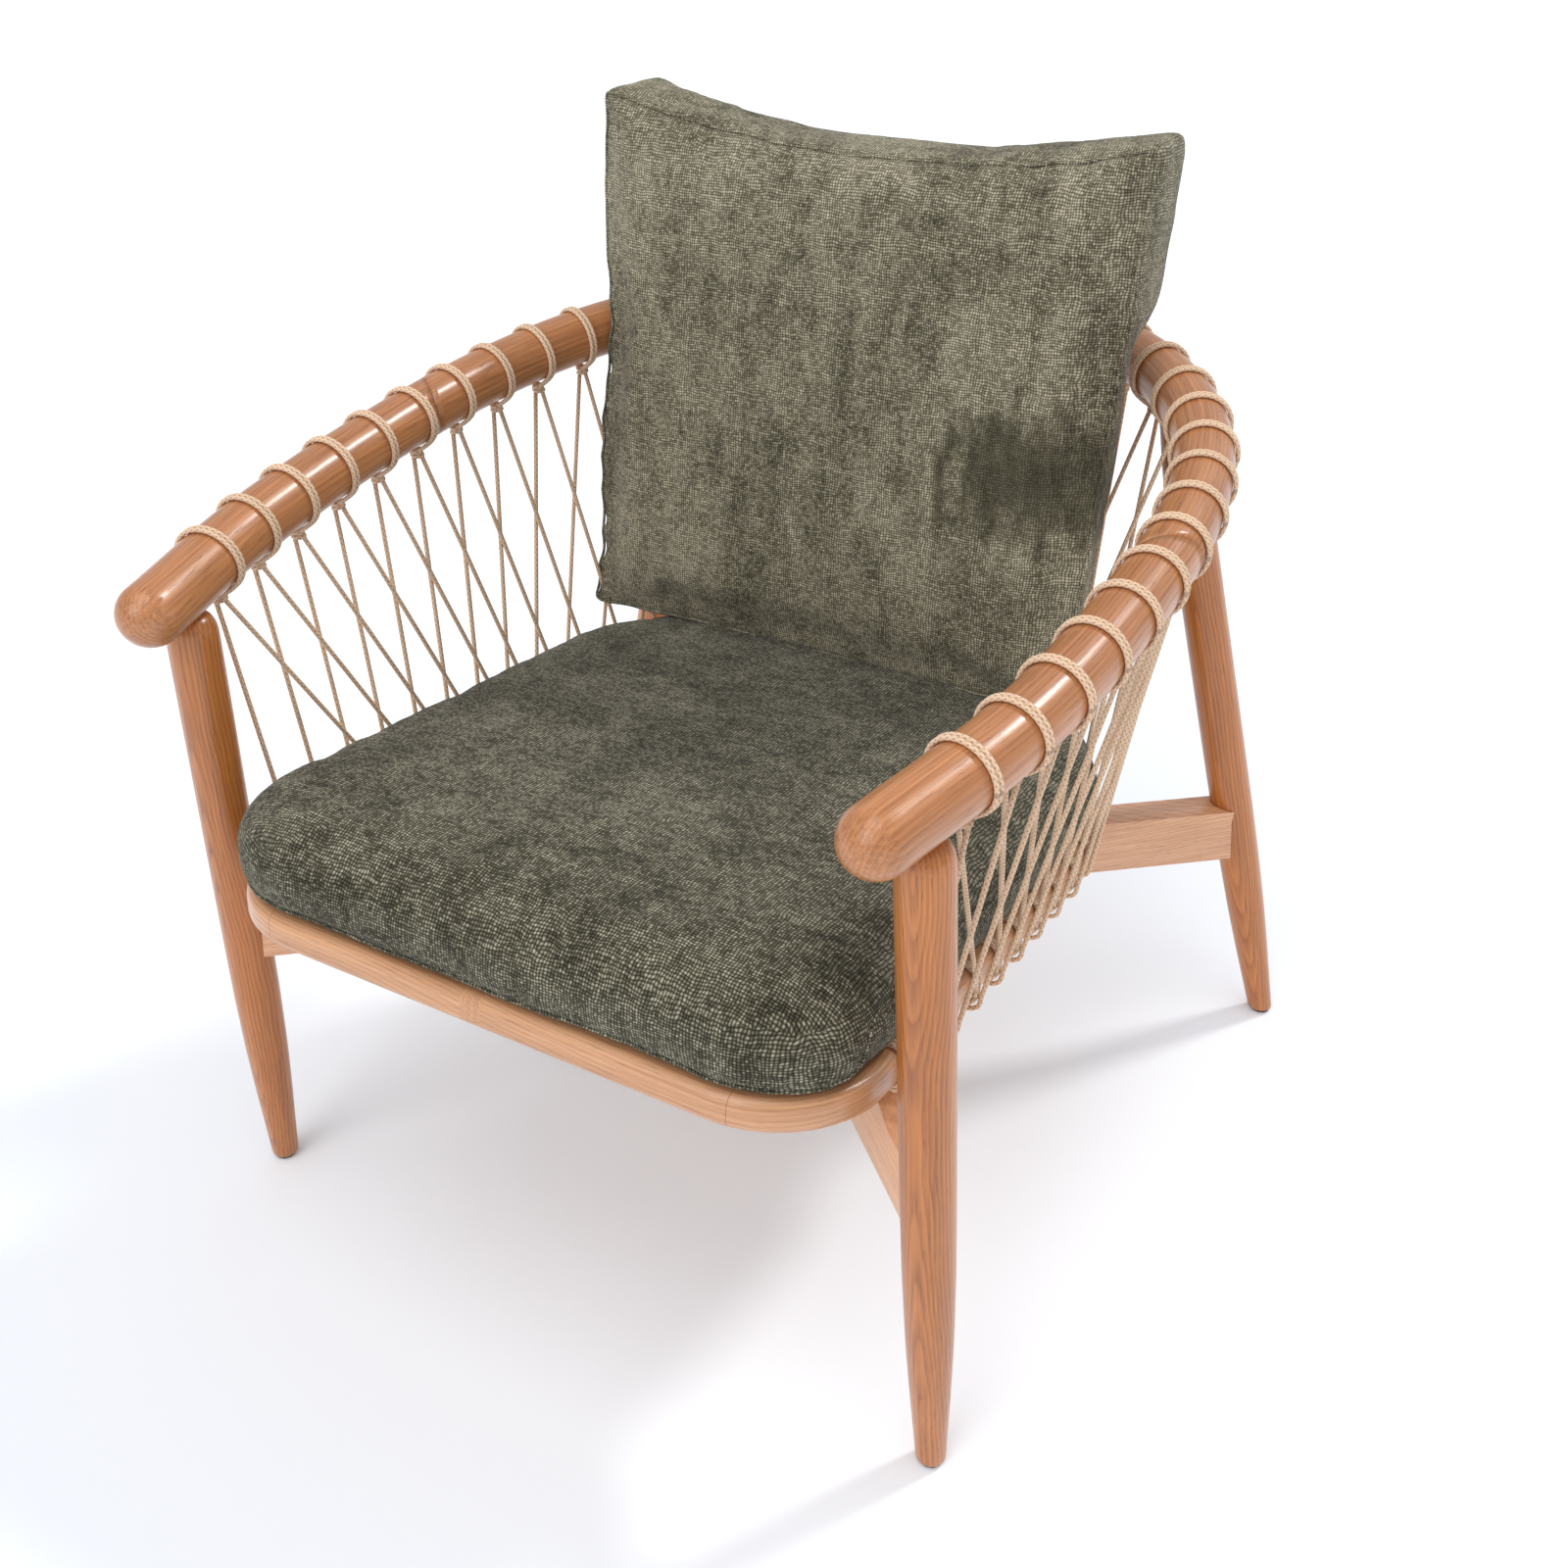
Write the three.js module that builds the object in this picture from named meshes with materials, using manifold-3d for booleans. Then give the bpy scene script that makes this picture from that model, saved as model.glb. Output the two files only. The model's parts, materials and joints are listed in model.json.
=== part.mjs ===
import * as THREE from 'three';
import { mergeVertices } from 'three/addons/utils/BufferGeometryUtils.js';
import Module from 'manifold-3d';

// A low lounge armchair. A horseshoe top rail stands on four turned legs. Two crossed stretchers
// join the legs and carry a seat ring. Cord is laced between the rail and the ring, and two loose
// cushions lie inside. Millimetres, +Z up, and -Y is the chair's front. While the chair is built
// its front feet stand on y = 0, and its last lines move it to the centre of its box.

// ---- Driving dimensions ----

const GAP = 0.3; // clearance between pieces that touch

// Top rail: the plan of its centre line from the right tip to the middle of the back.
const RAIL_RADIUS = 24;
const RAIL_HEIGHT = 591; // centre line above the front feet
const RAIL_RISE = 0.105; // climb per millimetre towards the back
const RAIL_HALF_PLAN = [
  [289, -56], [318, 75], [330, 230], [325, 375],
  [298, 492], [252, 578], [180, 648], [92, 679],
];
const RAIL_BACK = 686;
const RAIL_SIDES = 14;
const SCARF_ANGLE = THREE.MathUtils.degToRad(35); // slope of the glue joints in plan

// Legs: radius at heights along the leg, from the foot up.
const LEG_RADIUS = 19.5;
const LEG_TAPER = [[0, 11.5], [35, 13.2], [80, 15.6], [133, 17.8], [200, 19.2]];
const LEG_SIDES = 14;
// How each leg ends below the rail's centre line: [part of the full radius, distance below it].
const FRONT_LEG_END = [[1, 41], [0.95, 34], [0.82, 28.5], [0.62, 25], [0.35, 22.5]];
const REAR_LEG_END = [[0.8, 36], [0.78, 20], [0.66, 13.5], [0.5, 10]];
const FRONT_FOOT = new THREE.Vector2(330, 0);
const REAR_FOOT = new THREE.Vector2(395, 661);
const FRONT_LEG_Y = -14; // where the front leg meets the rail
const GLIDE_RADIUS = 9;
const GLIDE_HEIGHT = 3;

// Seat ring, in the raked plane of the seat, whose z = 0 is the ring's underside.
const SEAT_HEIGHT = 332; // the plane's height above the front feet
const SEAT_RAKE = Math.atan(0.11);
const RING_HALF_WIDTH = 274;
const RING_FRONT = -83;
const RING_CORNER = 90;
const RING_SIDE_END = 360; // where the straight sides end and the rounded back begins
const RING_BACK_DEPTH = 240;
const RING_WIDTH = 42;
const RING_THICKNESS = 28;
const RING_EDGE = 8;
const RING_FRONT_JOINT = 200; // half the length of the front piece
const RING_BACK_JOINT = 377; // y of the joints between the sides and the back piece
const REBATE_WIDTH = 12;
const DECK_THICKNESS = 9;

// Stretchers: heights at the front leg's axis, and the fall along their length.
const BAR_BOTTOM = 246;
const BAR_DEPTH = 54;
const BAR_FALL = 0.058;
const BAR_THICKNESS = 32;
const BAR_SEAT = 31; // how far inside the ring's edge the stretcher carries it
const BAR_SHOULDER = 7; // step that keeps the stretcher clear of the cord
const BAR_FRONT_RAMP = 60; // length of the slope up to the ring
const BAR_REAR_RAMP = 20;

// Dowels and fasteners.
const DOWEL_RADIUS = 6;
const DOWEL_SIDES = 10;
const RING_DOWEL_RADIUS = 4;
const BOLT_RADIUS = 3;
const BOLT_HEAD_RADIUS = 6;
const BOLT_REACH = 13; // depth of a bolt in the ring
const BOLT_GRIP = 40; // wood between a bolt's head and the ring

// Cord lacing.
const CORD_RADIUS = 2.1;
const LOOP_COUNT = 34; // hitches on the rail
const FIRST_LOOP_Y = 21;
const STATION_SHIFT = 3; // a loop's second strand lands this many stations further on
const STATION_COUNT = LOOP_COUNT + STATION_SHIFT;
const FIRST_STATION_Y = 31;
const LAYER_TOP = 5.5; // half the distance between the outer and inner strands at a knot
const LAYER_BOTTOM = 7.5; // their distance at the ring
const TURN_REACH = 13; // wood between the ring's outer edge and the slots for the cord
const TURN_RISE = 11; // height of the strands' ends on the ring's outer face
const LOOP_CLEARANCE = 1;
const KNOT_RADIUS = 7;

// Cushions.
const SEAT_CUSHION_HEIGHT = 68;
const SEAT_CUSHION_INSET = 3; // inside the ring's outer edge
const SEAT_CUSHION_EDGE = 20;
const CUSHION_LIFT = 2 * CORD_RADIUS + 2 * GAP;
const BACK_CUSHION_BOTTOM = 385;
const BACK_CUSHION_TOP = 858;
const BACK_CUSHION_FRONT = 448; // y of its front face at the bottom
const BACK_CUSHION_LEAN = 0.14;
const BACK_CUSHION_MIDDLE = -17; // it lies a little to the left
const BACK_CUSHION_HALF_WIDTH = 246;
const BACK_CUSHION_BOXING = 78; // depth of its side strips
const BACK_CUSHION_CROWN = 50; // how far its back swells beyond them
const BACK_CUSHION_SWELL = 12; // and its front
const BACK_CUSHION_NECK = 690; // below this its back corners are pressed in by the rail and cord
const BACK_CUSHION_PRESS = 55; // at its left, and half as much at its right
const BACK_CUSHION_FLARE = 14; // how far its front left edge reaches out
const RAIL_LEVEL = 655; // height of the rail beside it, where that edge reaches out less
const BACK_CUSHION_SAG = 18; // dip of its top edge

// ---- Materials ----

const finish = (color, roughness, metalness = 0) =>
  new THREE.MeshStandardMaterial({ color, roughness, metalness });
const OILED_WOOD = () => finish(0xb9794a, 0.45);
const DOWEL_WOOD = () => finish(0xd9b98c, 0.7);
const PLYWOOD = () => finish(0xcaa878, 0.7);
const ROPE = () => finish(0xc8aa87, 0.95);
const FABRIC = () => finish(0x6b6d55, 0.95);
const STEEL = () => finish(0x9a9a98, 0.35, 1);
const NYLON = () => finish(0x3a2c22, 0.6);

// ---- Solids ----

const wasm = await Module();
wasm.setup();

const X = new THREE.Vector3(1, 0, 0);
const Y = new THREE.Vector3(0, 1, 0);
const Z = new THREE.Vector3(0, 0, 1);

/** A closed geometry as a solid that can be joined and cut. */
function solid(geometry) {
  const bare = geometry.clone();
  bare.deleteAttribute('normal');
  bare.deleteAttribute('uv');
  const merged = mergeVertices(bare, 1e-4);
  return new wasm.Manifold(new wasm.Mesh({
    numProp: 3,
    vertProperties: merged.attributes.position.array,
    triVerts: new Uint32Array(merged.index.array),
  }));
}

const join = (solids) => wasm.Manifold.union(solids);

const cutAway = (from, tools) => tools.reduce((left, tool) => left.subtract(tool), from);

function meshGeometry(from) {
  const { vertProperties, triVerts } = from.getMesh();
  const geometry = new THREE.BufferGeometry();
  geometry.setAttribute('position', new THREE.BufferAttribute(vertProperties, 3));
  geometry.setIndex(new THREE.BufferAttribute(triVerts, 1));
  geometry.computeVertexNormals();
  return geometry;
}

/** Adds one named piece to a group. */
function place(group, name, material, shape) {
  const geometry = shape.isBufferGeometry ? shape : meshGeometry(shape);
  const mesh = new THREE.Mesh(geometry, material);
  mesh.name = name;
  group.add(mesh);
}

/** The matrix that takes the axes x, y and z to the given directions at a point. */
const basis = (x, y, z, at) => new THREE.Matrix4().makeBasis(x, y, z).setPosition(at);

/** A solid of revolution about the line from one point towards another. */
function turned(profile, sides, from, towards) {
  const points = profile.map(([radius, along]) => new THREE.Vector2(radius, along));
  const spin = new THREE.Quaternion().setFromUnitVectors(Y, towards.clone().sub(from).normalize());
  return new THREE.LatheGeometry(points, sides).applyQuaternion(spin).translate(...from);
}

/** A round bar between two points. */
function rod(from, to, radius, sides) {
  const length = from.distanceTo(to);
  return turned([[0, 0], [radius, 0], [radius, length], [0, length]], sides, from, to);
}

/** A dowel between two points, and the bore that clears it. */
function dowelPair(from, to, radius) {
  const end = to.clone().sub(from).setLength(2 * GAP);
  return {
    pin: solid(rod(from, to, radius, DOWEL_SIDES)),
    bore: solid(rod(from.clone().sub(end), to.clone().add(end), radius + GAP, DOWEL_SIDES)),
  };
}

/** An outline extruded along z, with eased edges when it has a bevel. */
function plate(outline, height, bevel = 0) {
  return new THREE.ExtrudeGeometry(outline, {
    depth: height - 2 * bevel,
    bevelEnabled: bevel > 0,
    bevelThickness: bevel,
    bevelSize: bevel,
    bevelOffset: -bevel,
    bevelSegments: 2,
    curveSegments: 1,
  }).translate(0, 0, bevel);
}

const polygon = (points) => new THREE.Shape(points.map(([x, y]) => new THREE.Vector2(x, y)));

// ---- Top rail ----

const mirrored = ([x, y]) => [-x, y];
const RAIL_PLAN = [
  ...RAIL_HALF_PLAN,
  [0, RAIL_BACK],
  ...RAIL_HALF_PLAN.map(mirrored).reverse(),
];
const railHeight = (y) => RAIL_HEIGHT + RAIL_RISE * y;
const railCurve = new THREE.CatmullRomCurve3(
  RAIL_PLAN.map(([x, y]) => new THREE.Vector3(x, y, railHeight(y))), false, 'centripetal',
);
railCurve.arcLengthDivisions = 800;
const RAIL_LENGTH = railCurve.getLength();

const railPoint = (s) => railCurve.getPointAt(s / RAIL_LENGTH);
const railTangent = (s) => railCurve.getTangentAt(s / RAIL_LENGTH);

/** The distance along the right arm at which the rail reaches a given y. */
function railDistanceAt(y) {
  let low = 0;
  let high = RAIL_LENGTH / 2;
  while (high - low > 0.01) {
    const middle = (low + high) / 2;
    if (railPoint(middle).y < y) low = middle;
    else high = middle;
  }
  return low;
}

const FIRST_LOOP = railDistanceAt(FIRST_LOOP_Y);
const LOOP_PITCH = (RAIL_LENGTH - 2 * FIRST_LOOP) / (LOOP_COUNT - 1);
const loopDistance = (number) => FIRST_LOOP + (number - 1) * LOOP_PITCH;

/** A stretch of the rail's centre line. */
class RailStretch extends THREE.Curve {
  constructor(from, to) {
    super();
    this.from = from;
    this.to = to;
  }

  getPoint(t, target = new THREE.Vector3()) {
    return target.copy(railPoint(THREE.MathUtils.lerp(this.from, this.to, t)));
  }
}

/** A round bar that follows the rail between two distances. */
function railBar(from, to, radius, steps) {
  const section = new THREE.Shape().absarc(0, 0, radius, 0, 2 * Math.PI);
  return new THREE.ExtrudeGeometry(section, {
    extrudePath: new RailStretch(from, to),
    steps,
    curveSegments: RAIL_SIDES / 2,
  });
}

const SCARF_ROOM = 24; // rail left beyond a joint before the scarf is cut
const SCARF_CUTTER = 120;
const RAIL_STEP = 30; // longest straight facet along the rail
const RAIL_DOWEL_LENGTH = 60;

// The joints between the lengths of rail, halfway between two hitches.
const RAIL_JOINTS = [6.5, 14.5, LOOP_COUNT - 13.5, LOOP_COUNT - 5.5].map((number, index) => {
  const distance = loopDistance(number);
  const at = railPoint(distance);
  const along = railTangent(distance);
  const slope = index < 2 ? SCARF_ANGLE : -SCARF_ANGLE;
  const half = along.clone().setLength(RAIL_DOWEL_LENGTH / 2);
  return {
    distance,
    at,
    normal: along.clone().applyAxisAngle(Z, slope),
    ...dowelPair(at.clone().sub(half), at.clone().add(half), DOWEL_RADIUS),
  };
});

/** The block that removes all rail on one side of a scarf, in the direction of its normal. */
function scarfCutter({ at, normal }, direction) {
  const across = normal.clone().cross(Z).normalize();
  const up = across.clone().cross(normal);
  const reach = direction * (SCARF_CUTTER - GAP) / 2;
  const cube = new THREE.BoxGeometry(SCARF_CUTTER, SCARF_CUTTER, SCARF_CUTTER);
  const centre = at.clone().addScaledVector(normal, reach);
  return solid(cube.applyMatrix4(basis(normal, across.negate(), up, centre)));
}

/** One length of rail between two joints, or between a domed tip and a joint. */
function railLength(startJoint, endJoint) {
  const from = startJoint ? startJoint.distance - SCARF_ROOM : 0;
  const to = endJoint ? endJoint.distance + SCARF_ROOM : RAIL_LENGTH;
  const steps = Math.ceil((to - from) / RAIL_STEP);
  const parts = [solid(railBar(from, to, RAIL_RADIUS, steps))];
  const tips = [!startJoint && 0, !endJoint && RAIL_LENGTH].filter((tip) => tip !== false);
  for (const tip of tips) {
    const towards = railTangent(tip).negate().add(railPoint(tip));
    const dome = [[0, -0.99], [0.6, -0.8], [0.99, 0], [0.8, 0.6], [0.45, 0.89], [0, 0.99]];
    const profile = dome.map(([radius, along]) => [radius * RAIL_RADIUS, along * RAIL_RADIUS]);
    parts.push(solid(turned(profile, RAIL_SIDES, railPoint(tip), towards)));
  }
  const tools = [];
  if (startJoint) tools.push(scarfCutter(startJoint, -1), startJoint.bore);
  if (endJoint) tools.push(scarfCutter(endJoint, 1), endJoint.bore);
  return cutAway(join(parts), tools);
}

// ---- Legs ----

const LEG_DOWEL_DOWN = 62; // how far a leg's top dowel reaches below the rail's centre line
const LEG_DOWEL_UP = 6;
const BAR_DOWEL_IN = 4;
const BAR_DOWEL_OUT = 52;

const REAR_LEG_DISTANCE = loopDistance(12.5); // the rear leg meets the rail between two hitches

/** One leg's axis: its foot, and the point of the rail's centre line that it runs to. */
function legAxis(side, foot, distance, end) {
  const top = railPoint(side > 0 ? distance : RAIL_LENGTH - distance);
  return { side, foot: new THREE.Vector3(side * foot.x, foot.y, 0), top, distance, end };
}

const LEGS = {
  front_left: legAxis(-1, FRONT_FOOT, railDistanceAt(FRONT_LEG_Y), FRONT_LEG_END),
  front_right: legAxis(1, FRONT_FOOT, railDistanceAt(FRONT_LEG_Y), FRONT_LEG_END),
  rear_left: legAxis(-1, REAR_FOOT, REAR_LEG_DISTANCE, REAR_LEG_END),
  rear_right: legAxis(1, REAR_FOOT, REAR_LEG_DISTANCE, REAR_LEG_END),
};

/** The point of a leg's axis at a height. */
const legPoint = ({ foot, top }, height) => foot.clone().lerp(top, height / top.z);

for (const leg of Object.values(LEGS)) {
  const axis = leg.top.clone().sub(leg.foot).normalize();
  const low = leg.top.clone().addScaledVector(axis, -LEG_DOWEL_DOWN);
  const high = leg.top.clone().addScaledVector(axis, LEG_DOWEL_UP);
  Object.assign(leg, { axis, dowel: dowelPair(low, high, DOWEL_RADIUS) });
}

/** A leg's profile from below its foot to its rounded end under the rail. */
function legProfile(length, end) {
  const spare = 12;
  return [
    [0, -spare],
    [LEG_TAPER[0][1], -spare],
    ...LEG_TAPER.map(([along, radius]) => [radius, along]),
    [LEG_RADIUS, LEG_TAPER.at(-1)[0] + 50],
    [LEG_RADIUS, length - 80],
    ...end.map(([radius, below]) => [radius * LEG_RADIUS, length - below]),
    [0, length - end.at(-1)[1]],
  ];
}

/** A foot glide: a disc that stands on the floor, with a stem up into the leg. */
function glide(foot, spare) {
  const stem = 2.5;
  const height = 15;
  const top = GLIDE_HEIGHT + (spare ? GAP : 0);
  const profile = [
    [0, -spare],
    [GLIDE_RADIUS + spare, -spare],
    [GLIDE_RADIUS + spare, top],
    [stem + spare, top],
    [stem + spare, height + spare],
    [0, height + spare],
  ];
  return solid(turned(profile, 10, foot, foot.clone().add(Z)));
}

/** The block of floor that cuts a leg level. */
function floorBlock({ foot }) {
  const size = 60;
  const top = GLIDE_HEIGHT + GAP;
  return solid(new THREE.BoxGeometry(size, size, size).translate(foot.x, foot.y, top - size / 2));
}

/** The rail as a cutter that a leg's top is coped to. */
function railCutter({ side, distance }) {
  const clear = (RAIL_RADIUS + GAP) / Math.cos(Math.PI / RAIL_SIDES);
  const middle = side > 0 ? distance : RAIL_LENGTH - distance;
  return solid(railBar(middle - 36, middle + 36, clear, 4));
}

/** A leg as a plain turned body, before its joints are cut. */
const legBody = ({ foot, top, end }) =>
  solid(turned(legProfile(foot.distanceTo(top), end), LEG_SIDES, foot, top));

// ---- Stretchers ----

// The seat's own raked frame, in which the ring, the deck and the seat cushion are drawn.
const seat = new THREE.Group();
seat.position.z = SEAT_HEIGHT;
seat.rotation.x = -SEAT_RAKE;
seat.updateMatrix();
const seatMatrix = seat.matrix;
const seatInverse = seatMatrix.clone().invert();

const seatPlaneHeight = (y) => SEAT_HEIGHT - Math.tan(SEAT_RAKE) * y;

/** A stretcher from a front leg to the opposite rear leg: its plan line and its outline. */
function stretcher(frontLeg, rearLeg) {
  const start = legPoint(frontLeg, BAR_BOTTOM).setZ(0);
  const rough = legPoint(rearLeg, BAR_BOTTOM).setZ(0).distanceTo(start);
  const end = legPoint(rearLeg, BAR_BOTTOM + BAR_DEPTH / 2 - BAR_FALL * rough).setZ(0);
  const along = end.clone().sub(start).normalize();
  return { start, end, along, across: along.clone().cross(Z), length: start.distanceTo(end) };
}

const BARS = [
  stretcher(LEGS.front_left, LEGS.rear_right),
  stretcher(LEGS.front_right, LEGS.rear_left),
];

const barBottom = (s) => BAR_BOTTOM - BAR_FALL * s;
const barTop = (s) => barBottom(s) + BAR_DEPTH;
const barPoint = (bar, s, height) =>
  bar.start.clone().addScaledVector(bar.along, s).setZ(height);
const ringUnderside = (bar, s) => seatPlaneHeight(barPoint(bar, s, 0).y) - GAP;

/** Everything above the ring's underside. */
function seatCutter() {
  const block = new THREE.BoxGeometry(1000, 1000, 100).translate(0, 300, 50 - GAP);
  return solid(block.applyMatrix4(seatMatrix));
}

/** The stretch of a bar, from its front end, that lies under the ring and its hollow. */
function barUnderRing(bar) {
  let first = 0;
  while (!insideRing(barPoint(bar, first, 0), BAR_SEAT)) first += 1;
  let last = bar.length;
  while (!insideRing(barPoint(bar, last, 0), BAR_SEAT)) last -= 1;
  return { first, last };
}

/** A stretcher's solid, a little fatter where it serves as the cutter for its partner. */
function barSolid(bar, thickness) {
  const spare = 5;
  const { first, last } = barUnderRing(bar);
  const rear = last + BAR_REAR_RAMP;
  const front = first - BAR_FRONT_RAMP;
  const outline = polygon([
    [0, barBottom(0)],
    [bar.length, barBottom(bar.length)],
    [bar.length, barTop(bar.length)],
    [rear, barTop(rear)],
    [last, ringUnderside(bar, last) - BAR_SHOULDER],
    [last, ringUnderside(bar, last) + spare],
    [first, ringUnderside(bar, first) + spare],
    [first, ringUnderside(bar, first) - BAR_SHOULDER],
    [front, barTop(front)],
    [0, barTop(0)],
  ]);
  const body = plate(outline, thickness).translate(0, 0, -thickness / 2);
  return solid(body.applyMatrix4(basis(bar.along, Z, bar.across, bar.start)))
    .subtract(seatCutter());
}

/** The half of a bar's height, above or below the middle, that its partner gives up. */
function lapCutter(bar, direction) {
  const middle = bar.length / 2;
  const height = (barBottom(middle) + ringUnderside(bar, middle)) / 2;
  const size = 100;
  const centre = barPoint(bar, middle, height + direction * (size - GAP) / 2);
  const block = new THREE.BoxGeometry(size, size, size).translate(...centre);
  return barSolid(bar, BAR_THICKNESS + 2 * GAP).intersect(solid(block));
}

/** The dowel that pins a bar's end into its leg. */
function barDowel(bar, atFront) {
  const s = (out) => (atFront ? out : bar.length - out);
  const height = barBottom(s(0)) + BAR_DEPTH / 2;
  return dowelPair(
    barPoint(bar, s(BAR_DOWEL_IN), height), barPoint(bar, s(BAR_DOWEL_OUT), height), DOWEL_RADIUS,
  );
}

/** A leg's round surface, a clearance larger, that a bar's end is coped to. */
function legCutter({ foot, top }) {
  const clear = (LEG_RADIUS + GAP) / Math.cos(Math.PI / LEG_SIDES);
  return solid(rod(foot.clone().lerp(top, 0.1), foot.clone().lerp(top, 0.8), clear, LEG_SIDES));
}

// ---- Seat ring ----

/** The ring's plan outline, moved inwards by an inset, as a closed list of points. */
function ringOutline(inset) {
  const half = RING_HALF_WIDTH - inset;
  const corner = Math.max(RING_CORNER - inset, 20);
  const front = RING_FRONT + inset;
  const depth = RING_BACK_DEPTH - inset;
  const path = new THREE.Path();
  path.moveTo(0, front);
  path.absarc(half - corner, front + corner, corner, -Math.PI / 2, 0);
  path.absellipse(0, RING_SIDE_END, half, depth, 0, Math.PI);
  path.absarc(-half + corner, front + corner, corner, Math.PI, 1.5 * Math.PI);
  path.closePath();
  return path;
}

const RING_CORNER_STEPS = 5;
const RING_BACK_STEPS = 16;

/** The outline as points, with enough steps round its corners and its back. */
function outlinePoints(inset) {
  const points = ringOutline(inset).curves.flatMap((curve) => {
    const steps = { EllipseCurve: RING_CORNER_STEPS, LineCurve: 1 }[curve.type];
    return curve.getPoints(curve.xRadius > 150 ? RING_BACK_STEPS : steps).slice(1);
  });
  return points.filter((point, i) => point.distanceTo(points.at(i - 1)) > 0.01);
}

const outlineShape = (inset) => new THREE.Shape(outlinePoints(inset));

/** True where a point of the plan lies at least an inset inside the ring's outer edge. */
function insideRing({ x, y }, inset) {
  const half = RING_HALF_WIDTH - inset;
  if (y <= RING_SIDE_END) return Math.abs(x) < half && y > RING_FRONT + inset;
  return Math.hypot(x / half, (y - RING_SIDE_END) / (RING_BACK_DEPTH - inset)) < 1;
}

const REBATE_FLOOR = RING_THICKNESS - DECK_THICKNESS - GAP;

/** The whole ring before it is parted: rounded edges outside, a rebate inside for the deck. */
function wholeRing() {
  const outline = outlineShape(0);
  outline.holes.push(new THREE.Path(outlinePoints(RING_WIDTH).reverse()));
  const rebate = plate(outlineShape(RING_WIDTH - REBATE_WIDTH), RING_THICKNESS);
  return solid(plate(outline, RING_THICKNESS, RING_EDGE))
    .subtract(solid(rebate.translate(0, 0, REBATE_FLOOR)));
}

const CUT_SIZE = 700;

/** A block that keeps the part of the ring with x, y within limits. */
function ringWindow(x0, x1, y0, y1) {
  const block = new THREE.BoxGeometry(x1 - x0, y1 - y0, 200);
  return solid(block.translate((x0 + x1) / 2, (y0 + y1) / 2, 0));
}

const RING_WINDOWS = {
  seat_ring_front: [-RING_FRONT_JOINT, RING_FRONT_JOINT, -CUT_SIZE, 0],
  seat_ring_back: [-CUT_SIZE, CUT_SIZE, RING_BACK_JOINT, CUT_SIZE + RING_BACK_JOINT],
  seat_ring_left: [-CUT_SIZE, -RING_FRONT_JOINT - GAP, -CUT_SIZE, RING_BACK_JOINT - GAP],
  seat_ring_right: [RING_FRONT_JOINT + GAP, CUT_SIZE, -CUT_SIZE, RING_BACK_JOINT - GAP],
};

/** The dowels across the ring's four joints, at half its thickness. */
function ringDowels() {
  const half = 15;
  const inset = 26;
  const height = REBATE_FLOOR / 2;
  const frontY = RING_FRONT + inset;
  const backX = RING_HALF_WIDTH - inset;
  const sides = { left: -1, right: 1 };
  return Object.entries(sides).flatMap(([name, side]) => {
    const front = new THREE.Vector3(side * RING_FRONT_JOINT, frontY, height);
    const back = new THREE.Vector3(side * backX, RING_BACK_JOINT, height);
    const alongX = X.clone().multiplyScalar(half);
    const alongY = Y.clone().multiplyScalar(half);
    const dowel = (at, along) =>
      dowelPair(at.clone().sub(along), at.clone().add(along), RING_DOWEL_RADIUS);
    return [
      { name: `ring_dowel_front_${name}`, ...dowel(front, alongX) },
      { name: `ring_dowel_back_${name}`, ...dowel(back, alongY) },
    ];
  });
}

/** The bolts that hold the ring down on the stretchers, in the seat's own frame. */
function ringBolts() {
  const corners = { left: BARS[0], right: BARS[1] };
  return Object.entries(corners).flatMap(([side, bar]) => {
    const other = side === 'left' ? 'right' : 'left';
    const { first, last } = barUnderRing(bar);
    const inset = (RING_WIDTH - BAR_SEAT) / 2 / Math.cos(Math.PI / 4);
    return [
      ringBolt(`ring_bolt_front_${side}`, barPoint(bar, first + inset, 0)),
      ringBolt(`ring_bolt_back_${other}`, barPoint(bar, last - inset, 0)),
    ];
  });
}

/** One bolt: a head deep in the stretcher's underside and a shank up into the ring. */
function ringBolt(name, plan) {
  const at = new THREE.Vector3(plan.x, plan.y, seatPlaneHeight(plan.y)).applyMatrix4(seatInverse);
  const headHeight = 6;
  const deep = 140;
  const screw = (spare, below) => solid(turned([
    [0, -BOLT_GRIP - below],
    [BOLT_HEAD_RADIUS + spare, -BOLT_GRIP - below],
    [BOLT_HEAD_RADIUS + spare, -BOLT_GRIP + spare],
    [BOLT_RADIUS + spare, -BOLT_GRIP + spare],
    [BOLT_RADIUS + spare, BOLT_REACH + spare],
    [0, BOLT_REACH + spare],
  ], 8, at, at.clone().add(Z)));
  return { name, pin: screw(0, headHeight), bore: screw(GAP, deep) };
}

// ---- Seat deck ----

const DECK_VENTS = [[0, 0], [-120, 120], [120, 120], [-120, 300], [120, 300], [0, 420]];
const VENT_RADIUS = 15;
const DECK_SCREW_SPOTS = [[-150, -47], [150, -47], [-238, 200], [238, 200]];

/** A countersunk deck screw, and the hole that clears it. */
function deckScrew([x, y], spare) {
  const at = new THREE.Vector3(x, y, 0);
  const top = RING_THICKNESS;
  return solid(turned([
    [0, 8 - spare],
    [1.8 + spare, 8 - spare],
    [1.8 + spare, top - 3.5],
    [4 + spare, top - 0.6],
    [4 + spare, top + spare],
    [0, top + spare],
  ], 8, at, at.clone().add(Z)));
}

// ---- Cord lacing ----

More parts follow.
